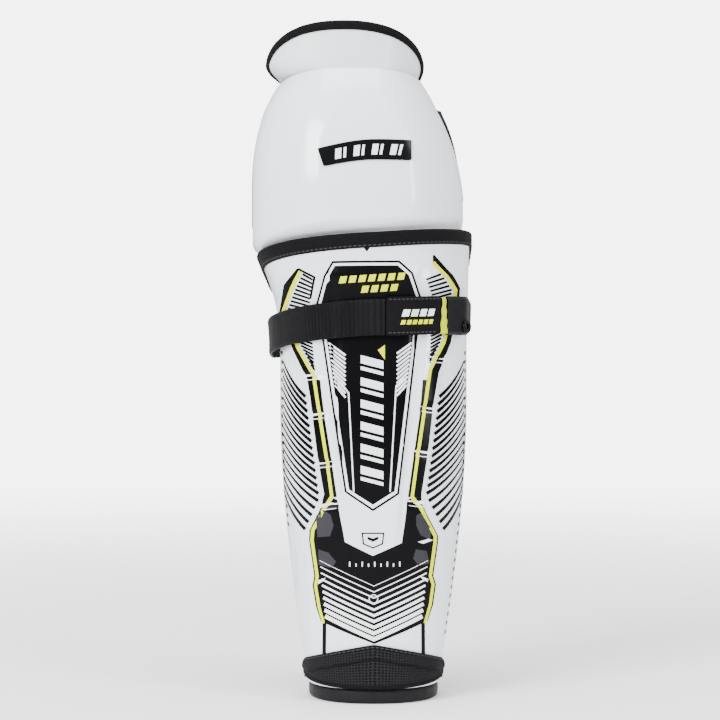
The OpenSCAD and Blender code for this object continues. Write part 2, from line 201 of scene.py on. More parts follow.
# Left edges of the two rails, from the top down, as (x, z); the right rail has its own points
RAIL_OUTER = {-1: [(-52.6, 303), (-61.4, 292), (-65.2, 272), (-55.2, 247), (-44, 224),
                   (-41, 198), (-37.4, 170), (-33.2, 146)],
              1: [(41.3, 312), (54.4, 298.5), (59, 290), (58, 279), (52.4, 252), (43.8, 231),
                  (40, 209), (36.4, 176), (31.8, 147)]}
RAIL_INNER = {-1: [(-40, 297.5), (-43.6, 281), (-40.2, 235), (-36.6, 214), (-31.1, 186.5),
                   (-25.6, 148)],
              1: [(32.5, 299), (38.5, 284), (36.5, 240), (33, 212), (29, 180), (23.6, 148)]}
RAIL_LINE = {-1: [(-50.5, 301), (-56.4, 288.5), (-63, 272), (-51.5, 248), (-40.9, 229),
                  (-36.7, 201), (-31.8, 170), (-28.4, 145)],
             1: [(40.6, 307), (50, 297.5), (56, 288.5), (55.3, 282), (47.7, 252), (38.1, 233),
                 (33.9, 203), (29.7, 174), (25.8, 145)]}
FOOT_LINE = {-1: [(-28.4, 145), (-33.5, 137.5), (-42.3, 121), (-42.8, 114), (-39.2, 89),
                  (-40.4, 82), (-37.8, 66.5), (-34.8, 56)],
             1: [(25.8, 145), (31.1, 138.6), (42.6, 117), (42.4, 112), (39.2, 89), (41.2, 83),
                 (39.2, 68.5), (35.5, 56)]}
BAND_BEND = 226.0
INK_INNER = {-1: [(-36.6, 226), (-34.2, 204), (-30.6, 182), (-27.2, 160), (-24.9, 143)],
             1: [(33.2, 226), (31.4, 204), (28.2, 182), (25.2, 160), (22.8, 143)]}
BAR_END = {-1: [(-41.5, 298), (-43.6, 281), (-40.5, 235), (-38, 220)],
           1: [(34, 300), (39.8, 284), (38, 240), (35, 220)]}
NOTCH_HEIGHTS = {-1: [229, 202, 168.5, 139.5], 1: [241, 206.5, 176, 141.5]}


def across(points, z):
    """x of an edge at height z, the edge given from the top down."""
    zs = [p[1] for p in points][::-1]
    xs = [p[0] for p in points][::-1]
    return np.interp(z, zs, xs)


def moulding(x, z):
    """Rise of the shell's outer face: two rails with cross notches, wider than their print."""
    rise = np.zeros_like(x)
    for side in (-1, 1):
        outer = side * across(RAIL_OUTER[side], z) + 3.2
        inner = side * across(RAIL_INNER[side], z) - 3.2
        rail = (1.1 * smooth((outer - side * x) / 4.0 + 0.5)
                * smooth((side * x - inner) / 4.0 + 0.5)
                * smooth((z - 112) / 14) * (1 - smooth((z - 292) / 14)))
        for height in NOTCH_HEIGHTS[side]:
            rail = rail * (1 - 0.85 * np.exp(-((z - height) / 1.9) ** 2))
        rise = rise + rail
    return rise


def shin_face(x, z, lift=0.0):
    """Point of the shell's moulded outer face at a place across the front."""
    t = angle_at(x, z)
    return shin(t, z, -lift, moulding(x, z))


def angle_at(x, z):
    part = np.abs(x) / shin_half(z, x < 0)
    return np.sign(x) * np.degrees(np.arcsin(limit(part) ** (1 / SQUARE)))


def knee_moulding(t, z):
    """A flat facet down the middle of the knee cap, narrowing towards its upper rim."""
    x, _, _ = knee(t, z, 0)
    half = mix(31, 9, smooth((z - 385) / 45))
    inside = 1 - ((x + 6) / half) ** 2
    low = 1 - smooth((334 - z) / 10)
    return -2.3 * (half / 31) * np.maximum(0, inside) * low


def knee_face(x, z, lift=0.0):
    part = np.abs(x - knee_centre(z)) / knee_half(z)
    t = np.sign(x - knee_centre(z)) * np.degrees(np.arcsin(limit(part) ** (1 / SQUARE)))
    return knee(t, z, -lift, knee_moulding(t, z))


def flap_moulding(t, z):
    x, _, _ = flap(t, z, 0)
    half = mix(25, 31, limit((z - 440) / 25))
    return -1.9 * np.maximum(0, 1 - ((x + 18) / half) ** 2) * smooth((z - 437) / 6)


# ---- modelling helpers

def deselect():
    if bpy.context.object and bpy.context.object.mode != "OBJECT":
        bpy.ops.object.mode_set(mode="OBJECT")
    bpy.ops.object.select_all(action="DESELECT")


def only(obj):
    deselect()
    obj.select_set(True)
    bpy.context.view_layer.objects.active = obj


def edit(obj, select="SELECT"):
    only(obj)
    bpy.ops.object.mode_set(mode="EDIT")
    bpy.ops.mesh.select_all(action=select)


def modify(obj, kind, **settings):
    """Adds a modifier and applies it."""
    only(obj)
    bpy.ops.object.modifier_add(type=kind)
    modifier = obj.modifiers[-1]
    for key, value in settings.items():
        setattr(modifier, key, value)
    bpy.ops.object.modifier_apply(modifier=modifier.name)


def thicken(obj, thickness):
    modify(obj, "SOLIDIFY", thickness=thickness * MM, offset=-1)


def rounded(obj, width, segments=2, angle=55):
    modify(obj, "BEVEL", width=width * MM, segments=segments, limit_method="ANGLE",
           angle_limit=math.radians(angle))


def named(name):
    obj = bpy.context.active_object
    obj.name = obj.data.name = name
    return obj


def coordinates(obj):
    flat = np.empty(len(obj.data.vertices) * 3)
    obj.data.vertices.foreach_get("co", flat)
    return flat.reshape(-1, 3)


def put(obj, x, y, z):
    """Places every vertex, in millimetres."""
    obj.data.vertices.foreach_set("co", (np.stack([x, y, z], 1) * MM).ravel())
    obj.data.update()


def grid(name, columns, rows, shape, cloth=(1.0, 1.0)):
    """A grid primitive laid on shape(u, v), with its UV map in millimetres of cloth."""
    deselect()
    bpy.ops.mesh.primitive_grid_add(x_subdivisions=columns, y_subdivisions=rows, size=2)
    obj = named(name)
    co = coordinates(obj)
    put(obj, *np.broadcast_arrays(*shape((co[:, 0] + 1) / 2, (co[:, 1] + 1) / 2)))
    layer = obj.data.uv_layers[0].data
    uv = np.empty(len(layer) * 2)
    layer.foreach_get("uv", uv)
    uv = uv.reshape(-1, 2) * np.array(cloth)
    layer.foreach_set("uv", uv.ravel())
    return obj


def finish_piece(obj, mat, body, nodes=(), angle=35):
    obj.data.materials.clear()
    obj.data.materials.append(mat)
    only(obj)
    bpy.ops.object.shade_smooth_by_angle(angle=math.radians(angle))
    if body:
        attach(obj, body)
    if nodes:
        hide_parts(*nodes)
    return obj


def flat(value):
    return lambda t: np.full_like(np.asarray(t, float), value)


# ---- materials

def begin(name, colour, roughness, **sockets):
    mat = bpy.data.materials.new(name)
    mat.use_nodes = True
    shader = mat.node_tree.nodes["Principled BSDF"]
    shader.inputs["Base Color"].default_value = (*colour, 1)
    shader.inputs["Roughness"].default_value = roughness
    for key, value in sockets.items():
        shader.inputs[key.replace("_", " ")].default_value = value
    return mat, mat.node_tree, shader


def add(tree, kind, values=(), out=0, **settings):
    """A node whose inputs are plain values or sockets of other nodes; gives one output."""
    made = tree.nodes.new("ShaderNode" + kind)
    for key, value in settings.items():
        setattr(made, key, value)
    for key, value in dict(values).items():
        if isinstance(value, bpy.types.NodeSocket):
            tree.links.new(value, made.inputs[key])
        else:
            made.inputs[key].default_value = value
    return made.outputs[out]


def tinted(tree, factor, low, high):
    """A mix of two colours, each a value or a socket."""
    ends = [c if isinstance(c, bpy.types.NodeSocket) else (*c, 1) for c in (low, high)]
    return add(tree, "Mix", {0: factor, 6: ends[0], 7: ends[1]}, 2, data_type="RGBA")


def product(tree, a, b, operation="MULTIPLY"):
    return add(tree, "Math", {0: a, 1: b}, operation=operation)


def surfaced(tree, shader, colour, shine, bumps):
    """Sets colour (pattern, low, high), roughness (the same) and (pattern, depth, strength) bumps."""
    tree.links.new(tinted(tree, *colour), shader.inputs["Base Color"])
    rough = add(tree, "MapRange", {"Value": shine[0], "To Min": shine[1], "To Max": shine[2]})
    tree.links.new(rough, shader.inputs["Roughness"])
    normal = {}
    for pattern, distance, strength in bumps:
        normal = {"Normal": add(tree, "Bump", {"Height": pattern, "Distance": distance * MM,
                                               "Strength": strength, **normal})}
    tree.links.new(normal["Normal"], shader.inputs["Normal"])


def plastic(name, colour, shade, rough=(0.16, 0.3), coat=0.35, grain=0.05, gloss=0.5):
    """Moulded plastic: slow colour drift, uneven gloss, fine orange peel and faint scuffs."""
    mat, tree, shader = begin(name, colour, rough[0], Coat_Weight=coat, Coat_Roughness=0.06,
                              Specular_IOR_Level=gloss)
    place = add(tree, "TexCoord", out="Object")
    drift = add(tree, "TexNoise", {"Vector": place, "Scale": 14.0, "Detail": 3.0})
    peel = add(tree, "TexNoise", {"Vector": place, "Scale": 420.0, "Detail": 4.0})
    scuff = add(tree, "TexNoise", {"Vector": place, "Scale": 60.0, "Detail": 8.0,
                                   "Distortion": 2.0})
    surfaced(tree, shader, (drift, colour, shade), (scuff, *rough),
             [(peel, grain, 0.35), (scuff, grain, 0.2)])
    return mat


def knit(name, colour, light, cell=0.9, depth=0.25, sheen=0.12):
    """Brushed knit on a padded piece: a small cell pattern in space, with fuzzy patches."""
    mat, tree, shader = begin(name, colour, 0.85, Sheen_Weight=sheen, Sheen_Roughness=0.5,
                              Specular_IOR_Level=0.12)
    place = add(tree, "TexCoord", out="Object")
    cells = add(tree, "TexVoronoi", {"Vector": place, "Scale": 500.0 / cell})
    fuzz = add(tree, "TexNoise", {"Vector": place, "Scale": 55.0, "Detail": 9.0})
    surfaced(tree, shader, (product(tree, cells, fuzz), colour, light), (fuzz, 0.7, 0.95),
             [(cells, depth, 0.8), (fuzz, 0.6, 0.35)])
    return mat


def woven(name, colour, light, pitch=1.0, depth=0.25, ribs=False, sheen=0.015, rough=(0.55, 0.8)):
    """Woven cloth on a piece whose UV map is in millimetres: two crossing sets of threads."""
    mat, tree, shader = begin(name, colour, 0.7, Sheen_Weight=sheen, Sheen_Roughness=0.4,
                              Specular_IOR_Level=0.08)
    place = add(tree, "TexCoord", out="UV")
    fine = math.pi / 10 / pitch
    warp = add(tree, "TexWave", {"Vector": place, "Scale": fine, "Distortion": 0.4}, "Fac",
               bands_direction="X")
    weft = add(tree, "TexWave", {"Vector": place, "Scale": fine / 2 if ribs else fine,
                                 "Distortion": 0.4}, "Fac", bands_direction="Y")
    patch = add(tree, "TexNoise", {"Vector": place, "Scale": 0.35, "Detail": 6.0})
    cross = product(tree, warp, weft, "MAXIMUM" if ribs else "MULTIPLY")
    surfaced(tree, shader, (cross, colour, light), (patch, *rough),
             [(cross, depth, 0.8), (patch, 0.3, 0.3)])
    return mat


def air_mesh(name, colour, hole, pitch=2.1):
    """Perforated mesh: rows of round holes on a UV map in millimetres."""
    mat, tree, shader = begin(name, colour, 0.75, Sheen_Weight=0.01, Specular_IOR_Level=0.05)
    place = add(tree, "TexCoord", out="UV")
    dots = add(tree, "TexVoronoi", {"Vector": place, "Scale": 1 / pitch, "Randomness": 0.12})
    fuzz = add(tree, "TexNoise", {"Vector": place, "Scale": 2.5, "Detail": 8.0})
    edge = add(tree, "MapRange", {"Value": dots, "From Min": 0.22, "From Max": 0.34})
    surfaced(tree, shader, (edge, hole, colour), (fuzz, 0.6, 0.9),
             [(edge, 0.7, 1.0), (fuzz, 0.25, 0.4)])
    return mat


def painted_shade_low(mat, colour):
    """Painted shade: a cool blue-grey darkening over the lower sides, fading upwards and towards the
    front, broken by wavy lines.
    """
    tree = mat.node_tree
    base = tree.nodes["Principled BSDF"].inputs["Base Color"]
    place = add(tree, "TexCoord", out="Object")
    stretch = add(tree, "Mapping", {"Vector": place, "Scale": (1.0, 1.0, 0.22)})
    wave = add(tree, "TexWave", {"Vector": stretch, "Scale": 26.0, "Distortion": 9.0,
                                 "Detail": 2.0, "Detail Scale": 0.7}, "Fac", bands_direction="X")
    low = add(tree, "MapRange", {"Value": add(tree, "SeparateXYZ", {"Vector": place}, "Z"),
                                 "From Min": 0.155, "From Max": 0.085})
    aside = product(tree, add(tree, "SeparateXYZ", {"Vector": place}, "X"), 0.0, "ABSOLUTE")
    edge = add(tree, "MapRange", {"Value": aside, "From Min": 0.040, "From Max": 0.052})
    line = add(tree, "MapRange", {"Value": wave, "From Min": 0.0, "From Max": 0.12,
                                  "To Min": 1.0, "To Max": 0.5})
    # how much painted shade lies on each point
    painted_shade_amount = product(tree, product(tree, low, edge), line)
    tree.links.new(tinted(tree, painted_shade_amount, base.links[0].from_socket, colour), base)
    return mat


WHITE = plastic("shell white gloss plastic", (0.80, 0.83, 0.87), (0.74, 0.78, 0.84))
# the shin shell's white, with painted shade low on its sides
SHELL_WHITE_WITH_PAINTED_SHADE = painted_shade_low(plastic("shin shell white gloss plastic with painted shade", (0.80, 0.83, 0.87),
                                 (0.74, 0.78, 0.84)), (0.50, 0.60, 0.68))
# a dark grey for reflections painted on the black print
REFLECTION_GREY = plastic("dark grey painted reflection", (0.022, 0.022, 0.026), (0.03, 0.03, 0.036), (0.14, 0.26),
                   0.0, 0.03, 0.1)
FLAP_WHITE = plastic("thigh flap satin plastic", (0.80, 0.82, 0.85), (0.74, 0.76, 0.80),
                     (0.3, 0.45), 0.15)
BLACK_INK = plastic("black print ink", (0.0015, 0.0015, 0.002), (0.003, 0.003, 0.0035),
                    (0.12, 0.22), 0.0, 0.03, 0.06)
YELLOW_INK = plastic("yellow print ink", (0.66, 0.74, 0.0), (0.60, 0.67, 0.0), (0.2, 0.34), 0.0,
                     0.03, 0.02)
# white print ink, also used for painted highlights and glints
WHITE_INK_AND_HIGHLIGHTS = plastic("white print ink and painted highlights", (0.86, 0.87, 0.9), (0.78, 0.8, 0.84), (0.18, 0.34), 0.3,
                    0.03)
BADGE = plastic("black badge enamel", (0.0015, 0.0015, 0.002), (0.003, 0.003, 0.004),
                (0.1, 0.2), 0.0, 0.03, 0.1)
RUBBER = plastic("black grip rubber", (0.003, 0.003, 0.0035), (0.006, 0.006, 0.007),
                 (0.25, 0.45), 0.0, 0.12, 0.16)
BINDING = woven("black edge binding", (0.0015, 0.0015, 0.002), (0.006, 0.006, 0.007), 0.55, 0.2)
WEBBING = woven("black strap webbing", (0.0015, 0.0015, 0.002), (0.007, 0.007, 0.008), 0.5, 0.2,
                rough=(0.3, 0.5))
ELASTIC = woven("black knitted elastic", (0.004, 0.004, 0.005), (0.022, 0.022, 0.024), 0.9, 0.4,
                ribs=True)
LABEL = woven("black label cloth", (0.0015, 0.0015, 0.002), (0.006, 0.006, 0.008), 0.4, 0.15)
TRIM = woven("yellow stitched trim", (0.50, 0.54, 0.0), (0.74, 0.80, 0.01), 0.5, 0.3)
COVER = air_mesh("black perforated mesh", (0.012, 0.012, 0.014), (0.0005, 0.0005, 0.0005))
SATIN = woven("black satin roll cloth", (0.006, 0.006, 0.007), (0.014, 0.014, 0.016), 0.7, 0.12,
              rough=(0.3, 0.45))
LINER = knit("black brushed liner", (0.006, 0.006, 0.007), (0.03, 0.03, 0.033))
PAD = knit("grey pad knit", (0.06, 0.062, 0.068), (0.16, 0.165, 0.175), 1.2, 0.35)
HOOK = knit("black hook and loop", (0.01, 0.01, 0.01), (0.04, 0.04, 0.04), 0.5, 0.6, 0.1)
THREAD = woven("black sewing thread", (0.02, 0.02, 0.022), (0.08, 0.08, 0.085), 0.3, 0.1)

# ---- flat prints

def bar(points):
    """A flat piece with four corners, drawn in x and z."""
    deselect()
    bpy.ops.mesh.primitive_circle_add(vertices=len(points), fill_type="NGON", radius=1)
    obj = named("print piece")
    co = np.array([(x, z, 0) for x, z in points], float)
    area = sum(co[i - 1][0] * co[i][1] - co[i][0] * co[i - 1][1] for i in range(len(co)))
    co = co[::-1] if area < 0 else co
    obj.data.vertices.foreach_set("co", co.ravel())
    obj.data.update()
    if obj.data.polygons[0].normal.z < 0:
        obj.data.vertices.foreach_set("co", co[::-1].copy().ravel())
        obj.data.update()
    return obj


def stroke(path, width, taper=None):
    """Outline of a stroke along a path, width at its start and taper at its end."""
    path = np.array(path, float)
    steps = np.hypot(*np.diff(path, axis=0).T)
    along = np.concatenate([[0], np.cumsum(steps)]) / max(steps.sum(), 1e-6)
    widths = mix(width, width if taper is None else taper, along) / 2
    ways = np.diff(path, axis=0) / steps[:, None]
    left = np.stack([-ways[:, 1], ways[:, 0]], 1)
    sides = []
    for i in range(len(path)):
        a, b = left[max(i - 1, 0)], left[min(i, len(left) - 1)]
        m = (a + b) / max(np.hypot(*(a + b)), 1e-6)
        sides.append(m / max(0.5, float(m @ b)))
    sides = np.array(sides) * widths[:, None]
    return list(map(tuple, path + sides)) + list(map(tuple, (path - sides)[::-1]))


def strips(path, width, taper=None):
    """The same stroke as separate four-cornered pieces, which never cross themselves."""
    ring = stroke(path, width, taper)
    n = len(path)
    return [[ring[i], ring[i + 1], ring[2 * n - 2 - i], ring[2 * n - 1 - i]] for i in range(n - 1)]


def inset(points, distance):
    """A convex outline moved inwards."""
    points = np.array(points, float)
    centre = points.mean(0)
    moved = []
    n = len(points)
    for i in range(n):
        lines = []
        for a, b in ((points[i - 1], points[i]), (points[i], points[(i + 1) % n])):
            way = (b - a) / np.hypot(*(b - a))
            normal = np.array([-way[1], way[0]])
            if normal @ (centre - a) < 0:
                normal = -normal
            lines.append((normal, normal @ a + distance))
        (n1, c1), (n2, c2) = lines
        moved.append(tuple(np.linalg.solve(np.array([n1, n2]), np.array([c1, c2]))))
    return moved


def print_on(name, pieces, mat, face, layer, step=2.5, body="guard"):
    """Joins flat pieces, cuts them finely and lays them on a face as one thin film."""
    made = [bar(points) for points in pieces]
    deselect()
    for obj in made:
        obj.select_set(True)
    bpy.context.view_layer.objects.active = made[0]
    if len(made) > 1:
        bpy.ops.object.join()
    obj = named(name)
    only(obj)
    co = coordinates(obj)
    bpy.ops.object.mode_set(mode="EDIT")
    for axis in (0, 1):
        low, high = co[:, axis].min(), co[:, axis].max()
        normal = (1, 0, 0) if axis == 0 else (0, 1, 0)
        for place in np.arange(math.ceil(low / step) * step + 0.013, high, step):
            bpy.ops.mesh.select_all(action="SELECT")
            where = (place, 0, 0) if axis == 0 else (0, place, 0)
            bpy.ops.mesh.bisect(plane_co=where, plane_no=normal)
    bpy.ops.object.mode_set(mode="OBJECT")
    co = coordinates(obj)
    film = 0.3 + 0.1 * layer
    put(obj, *face(co[:, 0], co[:, 1], film))
    thicken(obj, (film + 0.25))
    return finish_piece(obj, mat, body, angle=40)


# ---- shin shell

def shell_shape(u, v):
    t = mix(-SHELL_WRAP, SHELL_WRAP, u)
    z = mix(shell_lower(t), shell_upper(t), v)
    x, _, _ = shin(t, z, 0)
    return shin(t, z, 0, moulding(x, z))


shell = grid("shin_shell_moulded", 190, 190, shell_shape)
thicken(shell, WALL)
rounded(shell, 0.7, 3, 60)
finish_piece(shell, SHELL_WHITE_WITH_PAINTED_SHADE, "guard", ["shin_shell"], 40)

PANEL = [(-28.6, 307.5), (-34.5, 297.5), (-40.1, 277), (-35.3, 251.4), (-20.1, 148.6),
         (-0.7, 135.5), (17.2, 147.2), (30, 255), (33.5, 280), (26.5, 299.8), (17.4, 307.8)]
NOSE = [(22.8, 143), (19.3, 113.1), (-0.7, 104.3), (-20.1, 113.8), (-24.9, 143)]


# white gathers the painted highlights at the rail notches
black, yellow, white = [], [], []
for side in (-1, 1):
    outer, inner, line = RAIL_OUTER[side], RAIL_INNER[side], RAIL_LINE[side]
    # above the bend a thin band outside the yellow line, below it the whole rail
    heights = sorted({p[1] for p in outer + inner + line if p[1] <= outer[0][1]}, reverse=True)
    heights = [h for h in heights if abs(h - BAND_BEND) > 2] + [BAND_BEND]
    heights.sort(reverse=True)
    for high, low in zip(heights, heights[1:]):
        split = line if low >= BAND_BEND else INK_INNER[side]
        edge = [(float(across(outer, h)) + side * 0.4, h) for h in (high, low)]
        back = [(float(across(split, h)), h) for h in (low, high)]
        black.append(edge + back)
    yellow += strips(line, 2.5, 2.1)
    yellow += strips(FOOT_LINE[side], 2.5, 1.9)
    # slanted bars between the line and the panel, above and below the strap
    for height in np.arange(299, 219, -2.6):
        start = float(across(line, height)) - side * 2.6
        end = float(across(BAR_END[side], height - 3))
        if side * (start - end) > 1.5:
            black += strips([(start, height), (end, height - 4.0)], 1.55, 1.3)
    if side < 0:
        black += strips([(-51, 302), (-40.4, 296.6), (-43.2, 282)], 1.4)
    # painted highlights: white strokes across the rail where each notch catches the light
    for height in NOTCH_HEIGHTS[side]:
        a, b = float(across(outer, height)), float(across(inner, height))
        white += strips([(a + side * 3.5, height - 1.6), (a, height - 0.4),
                         ((a + b) / 2, height + 0.2), (b - side * 1.5, height + 1.0)], 1.7, 0.9)
        white += strips([(a + side * 2.0, height - 3.6), ((a + b) / 2, height - 3.0),
                         (b, height - 2.2)], 0.7, 0.3)

foot = ([(-33.6, 147.2), (-36.2, 138), (-44.6, 121), (-45, 114), (-41.4, 89), (-42.6, 82),
         (-40, 66.5), (-36.8, 57.2)] + [(0.3, 42.7)] +
        [(37.6, 57.6), (41.4, 68.5), (43.4, 83), (41.4, 89), (44.6, 112), (44.8, 117),
         (33.4, 138.6), (31.8, 147)] + NOSE)
black.append(foot)
for side in (-1, 1):
    black += strips([(side * 34.3, 57.5), (side * 34.6, 32.5)], 2.5)
black.append([(-5, 313.6), (-8, 317.5), (-2, 317.5)])
print_on("shin_print_black", black, BLACK_INK, shin_face, 0, 2.0)
print_on("panel_outline_black", [PANEL], BLACK_INK, shin_face, 0, 3.0)
print_on("panel_outline_white", [inset(PANEL, 1.5)], WHITE_INK_AND_HIGHLIGHTS, shin_face, 1, 3.0)
print_on("panel_fill_black", [inset(PANEL, 3.3)], BLACK_INK, shin_face, 2, 3.0)
print_on("rail_line_yellow", yellow, YELLOW_INK, shin_face, 1, 2.0)

# white lines in the panel, hatched blocks and a column of plain slanted blocks
lines = strips([(-22.5, 224), (-17.3, 217), (-13.8, 149)], 0.9)
lines += strips([(20.5, 227), (15.1, 221.8), (11, 149)], 0.9)
lines += strips([(-15.6, 149), (-0.7, 139.4), (13.4, 148.5)], 0.9)
for row in range(11):
    height = 251.5 - 2.9 * row
    lines += strips([(-31.2 + 0.45 * row, height), (-19.4, height - 8.6)], 1.3)
    lines += strips([(25.8 - 0.35 * row, height), (15.6, height - 7.4)], 1.3)
for row in range(6):
    top = 243 - 15.2 * row
    lines.append([(-9, top), (6.4, top - 4), (6.4, top - 9.5), (-9, top - 5.5)])
    lines.append([(-9, top - 7.6), (6.4, top - 11.6), (6.4, top - 14), (-9, top - 10)])
print_on("panel_marks_white", lines, WHITE_INK_AND_HIGHLIGHTS, shin_face, 3, 3.0)

accents = []
for row, (start, end, top) in enumerate([(-24, 16.5, 298.6), (-9, 16.5, 291.2)]):
    for x in np.arange(start, end, 6.6):
        accents.append([(x, top - 5 + 0.06 * x), (x + 4.6, top - 4.7 + 0.06 * x),
                        (x + 5.8, top + 0.06 * x), (x + 1.2, top - 0.3 + 0.06 * x)])
accents.append([(7.4, 250), (2.6, 246.5), (7.4, 240)])
print_on("panel_marks_yellow", accents, YELLOW_INK, shin_face, 3, 3.0)

# chevrons on the black foot of the print, thin at the top and thick at the bottom
chevrons = []
for row in range(10):
    tip = 83.3 - 4.15 * row
    width = 0.35 + 0.27 * row
    reach = 37.4 - 0.42 * row
    chevrons += strips([(-reach, tip + 0.45 * reach), (0, tip), (reach, tip + 0.45 * reach)], width)
for i in range(16):
    a, b = math.radians(22.5 * i), math.radians(22.5 * (i + 1))
    chevrons.append([(-0.3 + r * math.cos(w), 74.3 + r * math.sin(w))
                     for r, w in ((2.7, a), (3.2, a), (3.2, b), (2.7, b))])
for i in range(9):
    x = -17 + 4.3 * i
    tall = 3.4 if i % 2 == 0 else 2.2
    chevrons.append([(x, 96.8), (x + 0.8, 96.8), (x + 0.8, 96.8 + tall), (x, 96.8 + tall)])
# the white print of the foot, together with the painted notch highlights
print_on("foot_marks_and_notch_highlights_white", chevrons + white, WHITE_INK_AND_HIGHLIGHTS, shin_face, 1, 2.0)

# a plain five-sided mark on the nose
MARK = [(-8.6, 120.6), (7.2, 120.6), (6.2, 112.4), (-0.7, 109.4), (-7.6, 112.4)]
mark = []
inner_mark = inset(MARK, 0.9)
for i in range(len(MARK)):
    j = (i + 1) % len(MARK)
    mark.append([MARK[i], MARK[j], inner_mark[j], inner_mark[i]])
mark.append([(-4.4, 117.8), (-0.7, 116.4), (3, 117.8), (3, 115.9), (-0.7, 114.2), (-4.4, 115.9)])

# painted reflections in dark grey and painted glints in white on the foot of the print
grey = [[(-40, 131), (-35.6, 137), (-29.2, 132.5), (-27.2, 125), (-30, 117.5), (-39, 116.5)],
        [(28.6, 132), (32, 134), (40.3, 121.7), (38.8, 114.7), (32, 118.2), (28.6, 125.2)],
        [(-38.5, 108), (-31.5, 106), (-26, 100), (-29, 95.5), (-38.2, 97)],
        [(29, 108.5), (36.5, 107), (38.6, 98), (31, 97), (27, 102)]]
print_on("foot_painted_reflections_grey", grey, REFLECTION_GREY, shin_face, 1, 2.0)
glints = [[(30.3, 113.6), (38, 115.4), (40.8, 114.2), (34, 112.2)],
          [(-37, 139.2), (-30, 141.2), (-26.8, 140.6), (-33, 138.2)],
          [(26.8, 140.8), (33, 142.4), (36, 141.4), (30, 139.6)],
          [(-38.6, 86), (-33.5, 88.2), (-34.4, 86.4), (-38.4, 83.4)],
          [(31.5, 89.8), (37.6, 87.2), (37.2, 85), (34, 87)]]
print_on("foot_glints_white", glints, WHITE_INK_AND_HIGHLIGHTS, shin_face, 2, 2.0)

# side stripes that curve up and outwards, with a column of short dashes at their ends
INNER_END = {-1: [(-46.4, 216), (-36.6, 143.5), (-46.7, 121)],
             1: [(44.6, 218), (35, 145.5), (47.4, 121)]}
for side in (-1, 1):
    for height in np.arange(214, 120, -5.15):
        start = np.array([float(across(INNER_END[side], height)) + side * 1.2, height])
        end = np.array([side * 64.0, height + 25])
        bend = start + (end - start) * np.array([0.62, 0.36])
        path = [tuple((1 - s) ** 2 * start + 2 * s * (1 - s) * bend + s * s * end)
                for s in np.linspace(0, 1, 8)]
        mark += strips(path, 2.5, 0.6)
    for height in np.arange(246, 44 if side > 0 else 118, -6.4):
        x = side * (float(shin_half(np.array(height), side < 0)) * 0.972)
        mark += strips([(x, height), (x - side * 0.5, height - 2.6)], 1.0)
print_on("side_stripes_black", mark, BLACK_INK, shin_face, 0, 2.5)

# ---- knee cap and thigh flap

def cap_shape(u, v):
    t = mix(-KNEE_WRAP, KNEE_WRAP, u)
    z = mix(cap_lower(t), cap_upper(t), v)
    return knee(t, z, 0, knee_moulding(t, z))


cap = grid("knee_cap_moulded", 170, 150, cap_shape)
thicken(cap, WALL)
rounded(cap, 0.8, 3, 60)
finish_piece(cap, WHITE, "knee_cap", ["knee_cap_shell"], 24)


def flap_shape(u, v):
    t = mix(-FLAP_WRAP, FLAP_WRAP, u)
    z = mix(flap_lower(t), flap_upper(t), v)
    return flap(t, z, 0, flap_moulding(t, z))


panel = grid("thigh_flap_moulded", 120, 36, flap_shape)
thicken(panel, FLAP_PANEL)
rounded(panel, 0.6, 2, 60)
finish_piece(panel, FLAP_WHITE, "thigh_flap", ["thigh_flap_panel"], 24)

# badge: a rounded plate with plain raised bars
BADGE_LOW, BADGE_HIGH = 369.8, 383.0
BADGE_WIDE, BADGE_TALL = 63.1, 13.5


def badge_height(x, part):
    arc = 5.6 * np.sin(np.pi / 2 * limit((x + 38) / 42))
    return mix(BADGE_LOW + arc, BADGE_HIGH + arc * 1.15, part)


def badge_outline():
    """Corners rounded, as places across and up the plate from 0 to 1."""
    ring = []
    for cx, cy, start in ((0.985, 0.07, -90), (0.985, 0.93, 0), (0.015, 0.93, 90),
                          (0.015, 0.07, 180)):
        for k in range(4):
            a = math.radians(start + 30 * k)
            ring.append((cx + 0.015 * math.cos(a), cy + 0.07 * math.sin(a)))
    return ring


def badge_face(x, part, lift):
    along, up = x / BADGE_WIDE, part / BADGE_TALL
    across_x = mix(-38.1, 25.0, along) + 4.0 * (1 - up) * (1 - along)
    z = badge_height(across_x, up)
    return knee_face(across_x, z, lift)


plate = print_on("knee_badge", [[(BADGE_WIDE * a, BADGE_TALL * b) for a, b in badge_outline()]], BADGE,
                 lambda x, p, lift: badge_face(x, p, lift + 0.8), 0, 2.0, "knee_cap")
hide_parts("knee_label")
bars = []
for start in (9, 22, 35, 48):
    bars.append([(start, 3.2), (start + 4.2, 3.2), (start + 6.2, 10.2), (start + 2, 10.2)])
    bars.append([(start + 5.8, 3.2), (start + 7.6, 3.2), (start + 9.6, 10.2), (start + 7.8, 10.2)])
print_on("knee_badge_marks", bars, WHITE_INK_AND_HIGHLIGHTS, lambda x, p, lift: badge_face(x, p, lift + 0.9), 0,
         3.0, "knee_cap")

# ---- folded edge bindings

